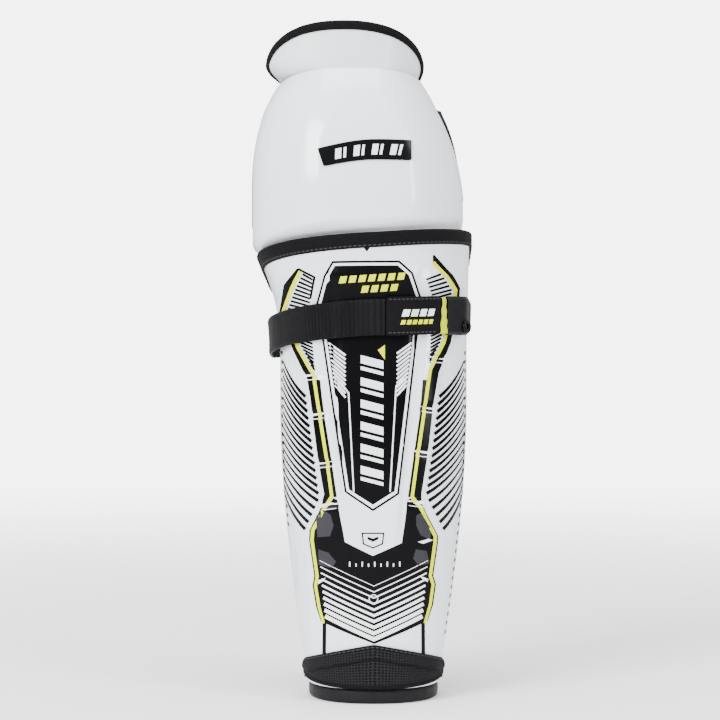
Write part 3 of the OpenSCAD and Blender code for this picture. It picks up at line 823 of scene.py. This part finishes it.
def swept(name, profile, place, columns, rows, length, backwards=False):
    """A closed profile of (depth, step) swept along place(u, depth, step), its ends filled."""
    closed = np.array(profile + profile[:1], float)
    run = np.concatenate([[0], np.cumsum(np.hypot(*np.diff(closed, axis=0).T))])

    def shape(u, v):
        part = (1 - v if backwards else v) * run[-1]
        return place(u, np.interp(part, run, closed[:, 0]), np.interp(part, run, closed[:, 1]), part)

    obj = grid(name, columns, rows, shape, (length, run[-1]))
    modify(obj, "WELD", merge_threshold=0.05 * MM)
    edit(obj, "DESELECT")
    bpy.ops.mesh.select_mode(type="EDGE")
    bpy.ops.mesh.select_non_manifold()
    bpy.ops.mesh.fill_holes(sides=0)
    bpy.ops.mesh.select_all(action="SELECT")
    bpy.ops.mesh.normals_make_consistent(inside=False)
    bpy.ops.object.mode_set(mode="OBJECT")
    return obj


def binding(name, surface, edge, t_from, t_to, profile, columns, body, node=None, mat=None,
            rise=None):
    """Cloth folded over the edge at height edge(t): steps go up from it."""
    def place(u, d, up, part):
        t = mix(t_from, t_to, u)
        height = edge(t) + up
        x, y, z = surface(t, height, d, rise(t, height) if rise else 0.0)
        pucker = 0.12 * np.sin(t * 2.9) * np.sin(part * 0.9)
        return x + pucker * np.sin(np.radians(t)), y - pucker * np.cos(np.radians(t)), z

    obj = swept(name, profile, place, columns, 40, 230, True)
    return finish_piece(obj, mat or BINDING, body, [node] if node else [], 50)


STITCH = 0.28


def stitch_row(name, height, t_from, t_to, d, body, length=2.3, gap=1.1):
    """A row of short raised stitches on the shin surface, along a line at height(t)."""
    ts = np.linspace(t_from, t_to, 800)
    line = np.stack(shin(ts, height(ts), d), -1)
    run = np.concatenate([[0], np.cumsum(np.linalg.norm(np.diff(line, axis=0), axis=1))])
    starts = np.arange(0.5, run[-1] - length, length + gap)
    deselect()
    bpy.ops.mesh.primitive_cylinder_add(vertices=6, radius=1, depth=1, end_fill_type="NGON")
    obj = named(name)
    modify(obj, "ARRAY", count=len(starts), use_relative_offset=False, use_constant_offset=True,
           constant_offset_displace=(0, 0, 10))
    co = coordinates(obj)
    which = np.rint(co[:, 2] / 10).astype(int)
    end = np.sign(co[:, 2] - 10 * which)
    a = np.stack([np.interp(starts, run, line[:, k]) for k in range(3)], 1)
    b = np.stack([np.interp(starts + length, run, line[:, k]) for k in range(3)], 1)
    way = (b - a) / np.linalg.norm(b - a, axis=1)[:, None]
    t_mid = np.interp(starts, run, ts)
    out = np.stack([np.sin(np.radians(t_mid)), -np.cos(np.radians(t_mid)), 0 * t_mid], 1)
    side = np.cross(way, out)
    side /= np.linalg.norm(side, axis=1)[:, None]
    middle, half = (a + b)[which] / 2, (b - a)[which] / 2
    points = (middle + half * end[:, None] * 0.98 + side[which] * co[:, :1] * 1.6 * STITCH
              + np.cross(side, way)[which] * co[:, 1:2] * STITCH)
    put(obj, *points.T)
    return finish_piece(obj, THREAD, body, angle=60)


TOP_FOLD = [(-0.35, -8.4), (-1.5, -8.0), (-1.75, -7.3), (-1.9, -3.6), (-1.7, 0.2), (-1.1, 1.6),
            (0.4, 2.2),
            (2.6, 2.2), (4.2, 1.5), (4.7, 0.2), (4.7, -4.6), (3.4, -5), (3.3, 0.1), (2.6, 0.6),
            (0.4, 0.6), (-0.3, 0.1)]
binding("shell_edge_binding", shin, shell_upper, -96, 96, TOP_FOLD, 220, "guard",
        "shell_top_binding")
stitch_row("shell_binding_stitches", lambda t: shell_upper(t) - 6.9, -95, 95, -1.85,
           "guard")
# ---- straps

def turned(s):
    return np.where(np.asarray(s) > 180, np.asarray(s) - 360.0, s)


def strap_middle(t):
    t = np.asarray(t, float)
    return 269 + np.where(t > 0, 1.5 * smooth(t / 50), 0.09 * t - 0.00065 * t * t)


def strap_off(t):
    return -3.4 - np.where(t < -60, 3 * limit((-60 - np.asarray(t)) / 30), 0)


def band(name, s_from, s_to, middle, width, off, thick, mat, body, nodes=(), slot=None,
         columns=None, rows=14, ribs=0.0, rounding=0.35, narrowing=None):
    """A flat strap on the shin surface; ribs is the height of its cross ribs."""
    ss = np.linspace(s_from, s_to, 90)
    x, y, _ = shin(turned(ss), middle(ss), off(ss) - thick)
    length = float(np.sum(np.hypot(np.diff(x), np.diff(y))))
    columns = columns or max(8, int(length / (0.8 if ribs else 2.2)))

    def shape(u, v):
        s = mix(s_from, s_to, u)
        wide = width * (narrowing(u) if narrowing is not None else 1.0)
        rib = ribs * (0.5 + 0.5 * np.sin(u * length * 2 * np.pi / 3.1))
        edge = 0.35 * thick * smooth((np.abs(v - 0.5) - 0.42) / 0.08)
        return shin(turned(s), middle(s) + (v - 0.5) * wide, off(s) - thick - rib + edge)

    obj = grid(name, columns, rows, shape, (length, width))
    thicken(obj, thick)
    rounded(obj, rounding)
    return finish_piece(obj, mat, body, nodes, 45)


TAB_START = 4.5
LABEL_END = 35.0
GRIP = (41.5, 68.0)
band("lock_strap_smooth", -100, -36, strap_middle, 25, strap_off, 1.8, WEBBING, "guard",
     ["lock_strap_webbing"], "webbing")
band("lock_strap_ribbed", -36, 4.1, strap_middle, 25, strap_off, 1.8, WEBBING, "guard", [],
     "webbing", ribs=0.75)
band("lock_tab_webbing", TAB_START, 41, strap_middle, 25, flat(-3.4), 1.8, WEBBING, "strap_tab",
     ["tab_webbing"], "webbing")
band("lock_tab_hook", 24, 40, strap_middle, 19, flat(-2), 1.1, HOOK, "strap_tab",
     ["tab_hook_pad"], "hook_cloth")
band("lock_tab_label", 5, LABEL_END, lambda t: strap_middle(t) + 0.5, 26.5, flat(-5.4), 1,
     LABEL, "strap_tab", ["tab_label"], "label_cloth", columns=30)


def trim_shape(u, v):
    start = mix(35.9, 37.2, v) + 0.35 * np.sin(v * 17)
    t = mix(start, mix(41.2, 39.4, v) + 0.3 * np.sin(v * 23), u)
    return shin(t, strap_middle(t) + (v - 0.5) * 25, -6.3)


trim = grid("lock_tab_marker", 8, 24, trim_shape, (5, 25))
thicken(trim, 1.0)
rounded(trim, 0.3)
finish_piece(trim, TRIM, "strap_tab", ["tab_marker"], 45)
band("shell_loop_patch", 22, 60, strap_middle, 21, flat(-0.4), 1.2, HOOK, "guard",
     ["shell_hook_patch"], "hook_cloth")


def grip_off(s):
    return -3.0 - 1.2 * np.exp(-((s - 57) / 5.5) ** 2)


band("lock_tab_grip", *GRIP, strap_middle, 27, grip_off, 2.8, RUBBER, "strap_tab",
     ["tab_end_grip"], "grip_rubber", columns=60, rows=30, rounding=1.1,
     narrowing=lambda u: 1 - 0.3 * limit((u - 0.72) / 0.28) ** 2.2)


def ring(name, middle, radius, thick, round_segments, tube_segments, turns):
    """A torus at a place, stood up by turns of (degrees, axis)."""
    deselect()
    bpy.ops.mesh.primitive_torus_add(major_segments=round_segments, minor_segments=tube_segments,
                                     major_radius=radius * MM, minor_radius=thick * MM,
                                     location=tuple(middle * MM))
    obj = named(name)
    edit(obj)
    for angle, axis in turns:
        bpy.ops.transform.rotate(value=math.radians(angle), orient_axis=axis,
                                 center_override=tuple(middle * MM))
    bpy.ops.object.mode_set(mode="OBJECT")
    bpy.ops.object.transform_apply(location=True, rotation=True, scale=True)
    return obj


eyelet = ring("lock_tab_eyelet", node_middle("tab_eyelet"), 3.4, 1.5, 48, 20,
              [(-90, "X"), (-58, "Z")])
finish_piece(eyelet, BADGE, "strap_tab", ["tab_eyelet"], 60)


def strap_face(along, up, lift):
    """A place on the label, from its left edge and from the strap's middle line."""
    t = 5 + along
    return shin(t, strap_middle(t) + 0.5 + up, -6.4 - lift)


bars = [[(7 + 4.9 * i, -0.4), (10.6 + 4.9 * i, -0.4), (11.7 + 4.9 * i, 4.4), (8.1 + 4.9 * i, 4.4)]
        for i in range(4)]
print_on("lock_label_bars", bars, WHITE_INK_AND_HIGHLIGHTS, strap_face, 1, 1.0, "strap_tab")
bars = [[(6.4 + 3.2 * i, -5.8), (8.6 + 3.2 * i, -5.8), (9.3 + 3.2 * i, -2.8),
         (7.1 + 3.2 * i, -2.8)] for i in range(6)]
print_on("lock_label_dashes", bars, YELLOW_INK, strap_face, 1, 1.0, "strap_tab")
for up, word in ((-11.4, "low"), (11.4, "high")):
    stitch_row("lock_label_stitches_" + word, lambda t: strap_middle(t) + 0.5 + up, 5.5, 34.5,
               -6.5, "strap_tab", 2.0, 1.0)

ELASTIC_HEIGHT = 92.0


def rear_middle(s):
    return mix(strap_middle(90.0), strap_middle(-100.0), smooth((s - 100) / 160))


def rear_off(s):
    return mix(5.1, -6.4, smooth((s - 104) / 130))


def low_off(s):
    return mix(5.1, -2, smooth((72 - np.abs(s - 180)) / 40))


band("upper_calf_elastic_knit", 104.4, 259.5, rear_middle, 25, rear_off, 1.6, ELASTIC, "guard",
     ["upper_calf_elastic"], "elastic", ribs=0.12)
band("upper_anchor_patch", 91, 104, flat(float(strap_middle(90.0))), 33, flat(5.1), 1.8, LABEL,
     "guard", ["strap_anchor_patch"], "anchor_cloth")
band("lower_calf_elastic_knit", 138.5, 256.5, flat(ELASTIC_HEIGHT), 32, low_off, 1.6, ELASTIC,
     "guard", ["lower_calf_elastic"], "elastic", ribs=0.12)
band("lower_tab_elastic", 108, 138, flat(ELASTIC_HEIGHT), 32, low_off, 1.6, ELASTIC,
     "lower_tab", ["lower_strap_tab"], "elastic", ribs=0.12)
band("lower_tab_hook", 109, 121, flat(ELASTIC_HEIGHT), 26, lambda s: low_off(s) + 1.4, 1.1, HOOK,
     "lower_tab", ["lower_tab_hook_pad"], "hook_cloth")
band("lower_anchor_patch_right", 93, 107.5, flat(ELASTIC_HEIGHT), 36,
     lambda s: low_off(s) + 0.1, 1.8, LABEL, "guard", ["lower_anchor_right"], "anchor_cloth")
band("lower_anchor_patch_left", 257, 266, flat(ELASTIC_HEIGHT), 36,
     lambda s: low_off(s) + 0.1, 1.8, LABEL, "guard", ["lower_anchor_left"], "anchor_cloth")

# ---- instep cover and bumper

def cover_upper(t):
    t = np.abs(t)
    return 41 - 12 * limit(t / 62) - 10 * limit((t - 62) / 26) ** 1.4


def cover_lower(t):
    return 12 + 5 * (np.abs(t) / 88) ** 2


COVER_CLOTH = (158.9, 29.0)


def cover_shape(u, v):
    t = mix(-88, 88, u)
    return shin(t, mix(cover_lower(t), cover_upper(t), v), -1.8)


cover = grid("instep_mesh", 120, 22, cover_shape, COVER_CLOTH)
thicken(cover, 1.3)
rounded(cover, 0.5, 3, 50)
finish_piece(cover, COVER, "guard", ["instep_cover"], 45)
COVER_EDGE = [(-0.5, -1.6), (-2.0, -1.5), (-2.4, -0.9), (-2.4, 0.5), (-1.9, 1.1), (-0.5, 1.1)]
binding("instep_edge_top", shin, cover_upper, -88.5, 88.5, COVER_EDGE, 130, "guard")
binding("instep_edge_low", shin, lambda t: cover_lower(t) - 0.2, -88.5, 88.5,
        [(d, -up) for d, up in COVER_EDGE][::-1], 130, "guard")
binding("instep_seam", shin, lambda t: cover_upper(t) - 9.2, -80, 80,
        [(-1.7, -0.9), (-2.3, -0.6), (-2.45, 0), (-2.3, 0.6), (-1.7, 0.9)], 120, "guard")
stitch_row("instep_stitches", lambda t: cover_upper(t) - 0.4, -87, 87, -2.5, "guard")

BUMPER = [(3.0, 0), (1.5, 0.5), (0.8, 2), (0.7, 5), (0.9, 8.4), (1.8, 9.5), (3, 9.8), (8, 9.8),
          (10.2, 9.2), (11, 8), (11, 2), (10.2, 0.5), (9, 0)]


def bumper_point(t, z, d, lifted=0.0):
    x, y, _ = shin(t, np.full_like(np.asarray(z, float), 10.0), d)
    return x, y, np.asarray(z, float)


binding("bumper_roll", bumper_point, flat(0.0), -94, 94, BUMPER, 160, "guard", "ankle_bumper",
        SATIN)

# ---- padded pieces

def puffed(obj, cap_motion, voxel):
    """Voxel remesh, then a pressure simulation, with a cap on how far a point may move."""
    modify(obj, "REMESH", mode="VOXEL", voxel_size=voxel * MM, use_smooth_shade=True)
    before = coordinates(obj)
    only(obj)
    bpy.ops.object.modifier_add(type="CLOTH")
    cloth = obj.modifiers[-1]
    cloth.settings.quality = 5
    cloth.settings.mass = 0.3
    cloth.settings.tension_stiffness = cloth.settings.compression_stiffness = 15
    cloth.settings.use_pressure = True
    cloth.settings.uniform_pressure_force = 4
    cloth.settings.effector_weights.gravity = 0
    cloth.collision_settings.use_collision = False
    scene = bpy.context.scene
    for step in range(1, 21):
        scene.frame_set(step)
    bpy.ops.object.modifier_apply(modifier=cloth.name)
    scene.frame_set(1)
    after = coordinates(obj)
    moved = after - before
    size = np.linalg.norm(moved, axis=1, keepdims=True)
    moved *= np.minimum(1, cap_motion * MM / np.maximum(size, 1e-9))
    obj.data.vertices.foreach_set("co", (before + moved).ravel())
    obj.data.update()
    modify(obj, "SUBSURF", levels=1, render_levels=1)


def pad(name, surface, t_from, t_to, low, high, d_out, d_in, mat, body, nodes, slot, centre,
        channels=(), fill=0.7, start=0.72, columns=60, rows=50, cap_motion=2.0, voxel=4.0):
    """A quilted pad between two depths. channels are (field, place, half width) with field
    "t" or "z"; both faces pull in towards the middle there."""
    d_mid = (d_out + d_in) / 2
    thick = (d_in - d_out) * start

    def shape(u, v):
        t = mix(t_from, t_to, u)
        return surface(t, mix(low(t), high(t), v), d_mid - thick / 2)
    obj = grid(name, columns, rows, shape)
    thicken(obj, thick)
    rounded(obj, thick * 0.3)
    puffed(obj, cap_motion, voxel)
    co = coordinates(obj) / MM
    z = co[:, 2]
    heading = np.arctan2(co[:, 0] - centre, -co[:, 1])
    t = np.degrees(heading)
    for _ in range(8):
        x, y, _z = surface(t, z, d_mid)
        wrong = np.degrees(heading - np.arctan2(x - centre, -y))
        t = t + (wrong + 180) % 360 - 180
    x, y, _z = surface(t, z, d_mid)
    # how far each point stands outside the middle layer, kept between the two depths
    middle = np.hypot(x - centre, y)
    stand = np.hypot(co[:, 0] - centre, co[:, 1]) - middle
    stand = np.clip(stand, -(d_in - d_mid) - 0.8, d_mid - d_out - 0.1)
    pull = np.zeros(len(z))
    for field, place, half in channels:
        if field == "z":
            across_seam = np.abs(z - (place(t) if callable(place) else place))
        else:
            across_seam = np.abs(t - place) * 1.05
        pull = np.maximum(pull, 0.75 * np.exp(-(across_seam / half) ** 2))
    stand = stand * (1 - pull)
    co[:, 0] = centre + np.sin(heading) * (middle + stand)
    co[:, 1] = -np.cos(heading) * (middle + stand)
    put(obj, *co.T)
    finish_piece(obj, mat, body, nodes, 180)
    return obj


def liner_upper(t):
    return 284 - 16 * (np.abs(t) / 96) ** 2


def liner_lower(t):
    return 10.4 + 10 * limit((np.abs(t) - 80) / 18) ** 2


pad("shin_liner_quilt", shin, -97, 97, liner_lower, liner_upper, LINER_OUT, LINER_IN, LINER,
    "guard", ["shin_liner"], "liner_cloth", 0,
    [("t", -66, 2.6), ("t", 66, 2.6), ("z", 70, 2.6), ("z", 268, 2.6), ("z", 20, 2.4)],
    columns=70, rows=70)
for side, word in ((-1, "left"), (1, "right")):
    pad("tibia_cushion_" + word, shin, min(16 * side, 58 * side), max(16 * side, 58 * side),
        flat(78), flat(262), LINER_IN + 0.4, LINER_IN + 5.4, PAD, "guard",
        ["tibia_pad_" + word], "pad_cloth", 0, [("z", 124, 2.6), ("z", 170, 2.6), ("z", 216, 2.6)],
        columns=20, rows=50)
pad("ankle_cushion", shin, -54, 54, flat(24), flat(66), LINER_IN + 0.4, LINER_IN + 4.4, PAD,
    "guard", ["ankle_pad"], "pad_cloth", 0, [("t", -18, 2.6), ("t", 18, 2.6)], columns=40,
    rows=16)
pad("knee_liner_quilt", knee, -97, 97, lambda t: cap_lower(t) + 15, lambda t: cap_upper(t) - 17,
    KNEE_FOAM_OUT, KNEE_FOAM_IN, LINER, "knee_cap", ["knee_liner"], "liner_cloth", -12,
    [("t", -38, 2.6), ("t", 38, 2.6), ("z", 400, 2.6)], columns=70, rows=30)
pad("thigh_flap_quilt", flap, -96, 96, lambda t: flap_lower(t) + 1.5,
    lambda t: flap_upper(t) - 1, FLAP_PANEL + 0.3, FLAP_STACK, LINER, "thigh_flap",
    ["thigh_flap_lining"], "liner_cloth", -20, [("z", lambda t: flap_lower(t) + 12, 2.4)],
    columns=80, rows=20, start=0.8, cap_motion=1.2, voxel=2.4)


def wing_upper(t):
    return 236 - 22 * limit((np.abs(t) - 122) / 28) ** 2


def wing_lower(t):
    return 62 + 26 * limit((np.abs(t) - 118) / 32) ** 2


for side, word in ((-1, "left"), (1, "right")):
    ends = sorted((102 * side, WING_END * side))
    pad(word + "_calf_wing_quilt", shin, *ends, wing_lower, wing_upper, WING_OUT, WING_IN, LINER,
        word + "_wing", [word + "_calf_wing"], "liner_cloth", 0,
        [("t", 124 * side, 2.6), ("z", 105, 2.6), ("z", 149, 2.6), ("z", 193, 2.6)],
        columns=24, rows=50)

# ---- bound edges of the pads

def tape(d_out, d_in, reach, lip=2.0, wall=1.0):
    """Profile of a tape folded over an edge: (depth, step past the edge), reach back from it."""
    return [(d_out - 0.2, -reach), (d_out - wall, -reach + 0.4), (d_out - wall, lip - 1.6),
            (d_out + 0.6, lip), (d_in - 0.6, lip), (d_in + wall, lip - 1.6),
            (d_in + wall, -reach + 0.4), (d_in + 0.2, -reach), (d_in - 0.6, lip - 2.6),
            (d_out + 0.6, lip - 2.6)]


def side_tape(name, surface, angle, side, low, high, profile, per_degree, body, node=None):
    """The same tape folded over an upright edge at one angle: steps go past it."""
    def place(u, d, out, part):
        return surface(side * (angle + out / per_degree), mix(low, high, u), d)

    obj = swept(name, profile, place, 70, 40, high - low)
    return finish_piece(obj, BINDING, body, [node] if node else [], 50)


def flipped(profile):
    return [(d, -up) for d, up in profile][::-1]


LINER_TAPE = tape(LINER_OUT + 1.2, LINER_IN - 1.0, 7)
binding("liner_tape_top", shin, liner_upper, -96, 96, LINER_TAPE, 150, "guard")
binding("liner_tape_foot", shin, liner_lower, -90, 90, flipped(LINER_TAPE), 150, "guard")
KNEE_TAPE = tape(KNEE_FOAM_OUT + 1.0, KNEE_FOAM_IN - 0.8, 7)
binding("knee_liner_tape_top", knee, lambda t: cap_upper(t) - 17, -95, 95, KNEE_TAPE, 150,
        "knee_cap")
binding("knee_liner_tape_foot", knee, lambda t: cap_lower(t) + 15, -95, 95,
        flipped(KNEE_TAPE), 150, "knee_cap")
binding("flap_edge_top", flap, flap_upper, -96, 96,
        [(-0.4, -4.2), (-1.8, -3.9), (-2.3, -2.6), (-1.8, 0.8), (-0.4, 2.1), (6.4, 2.1),
         (8.4, 0.8), (8.8, -2.4), (8.5, -3.3), (7.6, -3.6), (7.5, -0.4), (6.6, 0.6),
         (0.2, 0.6), (-0.3, -0.4)], 160, "thigh_flap", "thigh_flap_binding",
        rise=flap_moulding)
for side, word in ((-1, "left"), (1, "right")):
    side_tape("shin_liner_tape_" + word, shin, 97, side, 26, 272,
              LINER_TAPE, 1.1, "guard")
    low = float(cap_lower(np.array(96.0 * side))) + 17
    high = float(cap_upper(np.array(96.0 * side))) - 8
    side_tape("knee_liner_edge_" + word, knee, 97.6, side, low, high,
              tape(-0.3, 12.6, 6, 2.4, 0.9), 1.2, "knee_cap")
    side_tape(word + "_wing_edge", shin, WING_END, side, 89, 213,
              tape(WING_OUT + 1.0, WING_IN - 1.0, 6, 2.2), 0.95, word + "_wing",
              word + "_wing_binding")
    ends = sorted((103.5 * side, 145.5 * side))
    binding(word + "_wing_tape_top", shin, wing_upper, *ends,
            tape(WING_OUT + 1.2, WING_IN - 1.2, 6), 60, word + "_wing")
    binding(word + "_wing_tape_low", shin, wing_lower, *ends,
            flipped(tape(WING_OUT + 1.2, WING_IN - 1.2, 6)), 60, word + "_wing")
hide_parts("knee_liner_binding")
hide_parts("knee_liner_binding")

# where the liner's edge laps the cap: a fin high on the right, a tail at the left corner
def wedge_shape(u, v):
    t = mix(96.2 - 12.2 * np.sin(2.45 * v ** 1.4), 96.6, u)
    return knee(t, mix(372.0, 419.5, v), -0.9 - 3.6 * v * smooth(u / 0.8))


def lap(name, columns, rows, shape, cloth, thick, edge):
    obj = grid(name, columns, rows, shape, cloth)
    thicken(obj, thick)
    rounded(obj, edge)
    finish_piece(obj, BINDING, "knee_cap", [], 45)


lap("knee_liner_lap_right", 20, 30, wedge_shape, (25, 36), 0.8, 0.25)


def tail_shape(u, v):
    t = mix(-97.0, -70.0, u)
    return knee(t, cap_upper(t) + mix(-1.5, 1.3 - 1.2 * u, v), mix(-0.6, 0.3, u))


lap("knee_liner_lap_left", 30, 5, tail_shape, (30, 3), 2.6, 0.3)

# ring of the knee cup, sewn cloth over soft foam
CUP_RADIUS = 27
middle = node_middle("knee_cup_ring")
cushion = ring("knee_cup_cushion", middle, CUP_RADIUS, 5, 120, 32, [(-90, "X")])
co = coordinates(cushion) / MM - middle
round_ring = np.arctan2(co[:, 2], co[:, 0])
radius = np.hypot(co[:, 0], co[:, 2])
tuck = 1 - 0.07 * np.abs(np.sin(round_ring * 12)) ** 8
radius = CUP_RADIUS + (radius - CUP_RADIUS) * tuck
co = np.stack([radius * np.cos(round_ring), co[:, 1] * tuck, radius * np.sin(round_ring)], 1)
put(cushion, *(co + middle).T)
finish_piece(cushion, PAD, "knee_cap", ["knee_cup_ring"], 180)

# the small hook dots of the liners stay as they were cut
for name in ("liner_hook_dots", "knee_hook_dots"):
    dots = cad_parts[name]
    dots.data.materials.clear()
    dots.data.materials.append(HOOK)

# ---- cloth across the joints

def web(name, columns, rows, shape, cloth, thick, mat, slot, bodies, start, end, rests_on,
        angle=60, edge=0.0):
    """A cloth across a joint, built on its shape and attached to neither body."""
    obj = grid(name, columns, rows, shape, cloth)
    thicken(obj, thick)
    if edge:
        rounded(obj, edge)
    finish_piece(obj, mat, None, [], angle)
    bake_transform(obj)
    return obj


def between(low_place, high_place, k):
    return tuple(mix(a, b, k) for a, b in zip(low_place, high_place))


# an elastic at each side runs from the shin liner up to the knee liner
for side, word in ((-1, "left"), (1, "right")):
    def link_shape(u, v, side=side):
        t = side * mix(78.0, 94.0, u if side > 0 else 1 - u)
        z = mix(252.0, 352.0, v)
        low_place = shin(t, np.minimum(z, 300.0), LINER_IN + 0.6)
        high_place = knee(t, np.maximum(z, 331.0), KNEE_FOAM_IN + 0.9)
        k = smooth((z - 292) / 44)
        x, y, _ = between(low_place, high_place, k)
        return x, y, z
    link = web("knee_link_elastic_" + word, 16, 70, link_shape, (17, 104), 1.5, ELASTIC,
               "elastic", ("guard", "knee_cap"), (0, 0, 0.298), (0, 0, 0.340),
               ["shin_liner", "knee_liner"], 45, 0.4)
    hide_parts("knee_link_" + word)

# thin cloth hinges of the wings
for side, word in ((-1, "left"), (1, "right")):
    def gusset_shape(u, v, side=side):
        t = side * mix(93.0, 106.0, u if side > 0 else 1 - u)
        z = mix(70.0, 224.0, v)
        dip = 1.2 * np.sin(np.pi * limit((np.abs(t) - 96) / 7))
        return shin(t, z, 10.6 + dip)
    ends = [shin(side * t, 150.0, 10.6) for t in (97.5, 101.5)]
    ends = [tuple(float(c) * MM for c in place) for place in ends]
    web(word + "_wing_gusset", 18, 60, gusset_shape, (14, 154), 1.2, LINER, "liner_cloth",
        ("guard", word + "_wing"), *ends, ["shin_liner", word + "_calf_wing"])


# cloth hinge of the thigh flap, inside its lower edge
def hinge_shape(u, v):
    t = mix(-92.0, 92.0, u)
    low_place = knee(t, np.minimum(cap_upper(t) - 14, 428), WALL + 0.9)
    high_place = flap(t, flap_lower(t) + 9, FLAP_STACK + 0.7)
    x, y, z = between(low_place, high_place, v)
    return x, y, z


web("flap_hinge_cloth", 120, 16, hinge_shape, (190, 22), 0.9, LINER, "liner_cloth",
    ("knee_cap", "thigh_flap"), (0, 0, 0.424), (0, 0, 0.438),
    ["knee_cap_shell", "thigh_flap_lining"])

# ---- floor, light, camera

ROOM_LIGHT = 1.15
ROOM_SEEN = 6.0

deselect()
bpy.ops.mesh.primitive_plane_add(size=16, location=(0, 0, 0))
floor = named("floor")
floor_mat, tree, shader = begin("pale floor", (0.9, 0.9, 0.9), 0.6, Specular_IOR_Level=0.0,
                                Emission_Color=(1, 1, 1, 1))
place = add(tree, "TexCoord", out="Object")
patches = add(tree, "TexNoise", {"Vector": place, "Scale": 1.5, "Detail": 4.0})
# far from the guard the floor glows like the room behind it, so that no horizon shows
away = add(tree, "VectorMath", {0: place}, "Value", operation="LENGTH")
fade = add(tree, "MapRange", {"Value": away, "From Min": 0.1, "From Max": 2.6},
           interpolation_type="SMOOTHSTEP")
pale = tinted(tree, patches, (0.88, 0.88, 0.88), (0.92, 0.92, 0.92))
tree.links.new(tinted(tree, fade, pale, (0, 0, 0)), shader.inputs["Base Color"])
seen = add(tree, "LightPath", out="Is Camera Ray")
tree.links.new(product(tree, product(tree, fade, ROOM_SEEN), seen),
               shader.inputs["Emission Strength"])
floor.data.materials.append(floor_mat)

# The room looks white to the camera and lights more softly than it looks
world = bpy.data.worlds.new("studio")
bpy.context.scene.world = world
world.use_nodes = True
sky = world.node_tree.nodes["Background"]
seen = add(world.node_tree, "LightPath", out="Is Camera Ray")
strength = add(world.node_tree, "MapRange", {"Value": seen, "To Min": ROOM_LIGHT,
                                             "To Max": ROOM_SEEN})
world.node_tree.links.new(strength, sky.inputs["Strength"])
sky.inputs["Color"].default_value = (1, 1, 1, 1)


def lamp(name, place, target, size, power):
    deselect()
    bpy.ops.object.light_add(type="AREA", location=place)
    light = bpy.context.active_object
    light.name = light.data.name = name
    light.data.shape = "RECTANGLE"
    light.data.size, light.data.size_y = size
    light.data.energy = power
    light.rotation_euler = (Vector(target) - Vector(place)).to_track_quat("-Z", "Y").to_euler()
    return light


lamp("key soft box", (-1.3, -1.5, 1.0), (0, 0, 0.25), (0.8, 1.2), 90)
lamp("fill soft box", (1.6, -1.2, 0.7), (0, 0, 0.22), (0.4, 1.4), 34)
lamp("top soft box", (0, -0.2, 1.9), (0, 0, 0.2), (1.4, 1.0), 36)

deselect()
bpy.ops.object.camera_add(location=(-0.0096, -1.4, 0.23966),
                          rotation=(math.radians(90), 0, 0))
camera = bpy.context.active_object
camera.name = "camera"
camera.data.sensor_width = 36
camera.data.lens = 97.2
bpy.context.scene.camera = camera
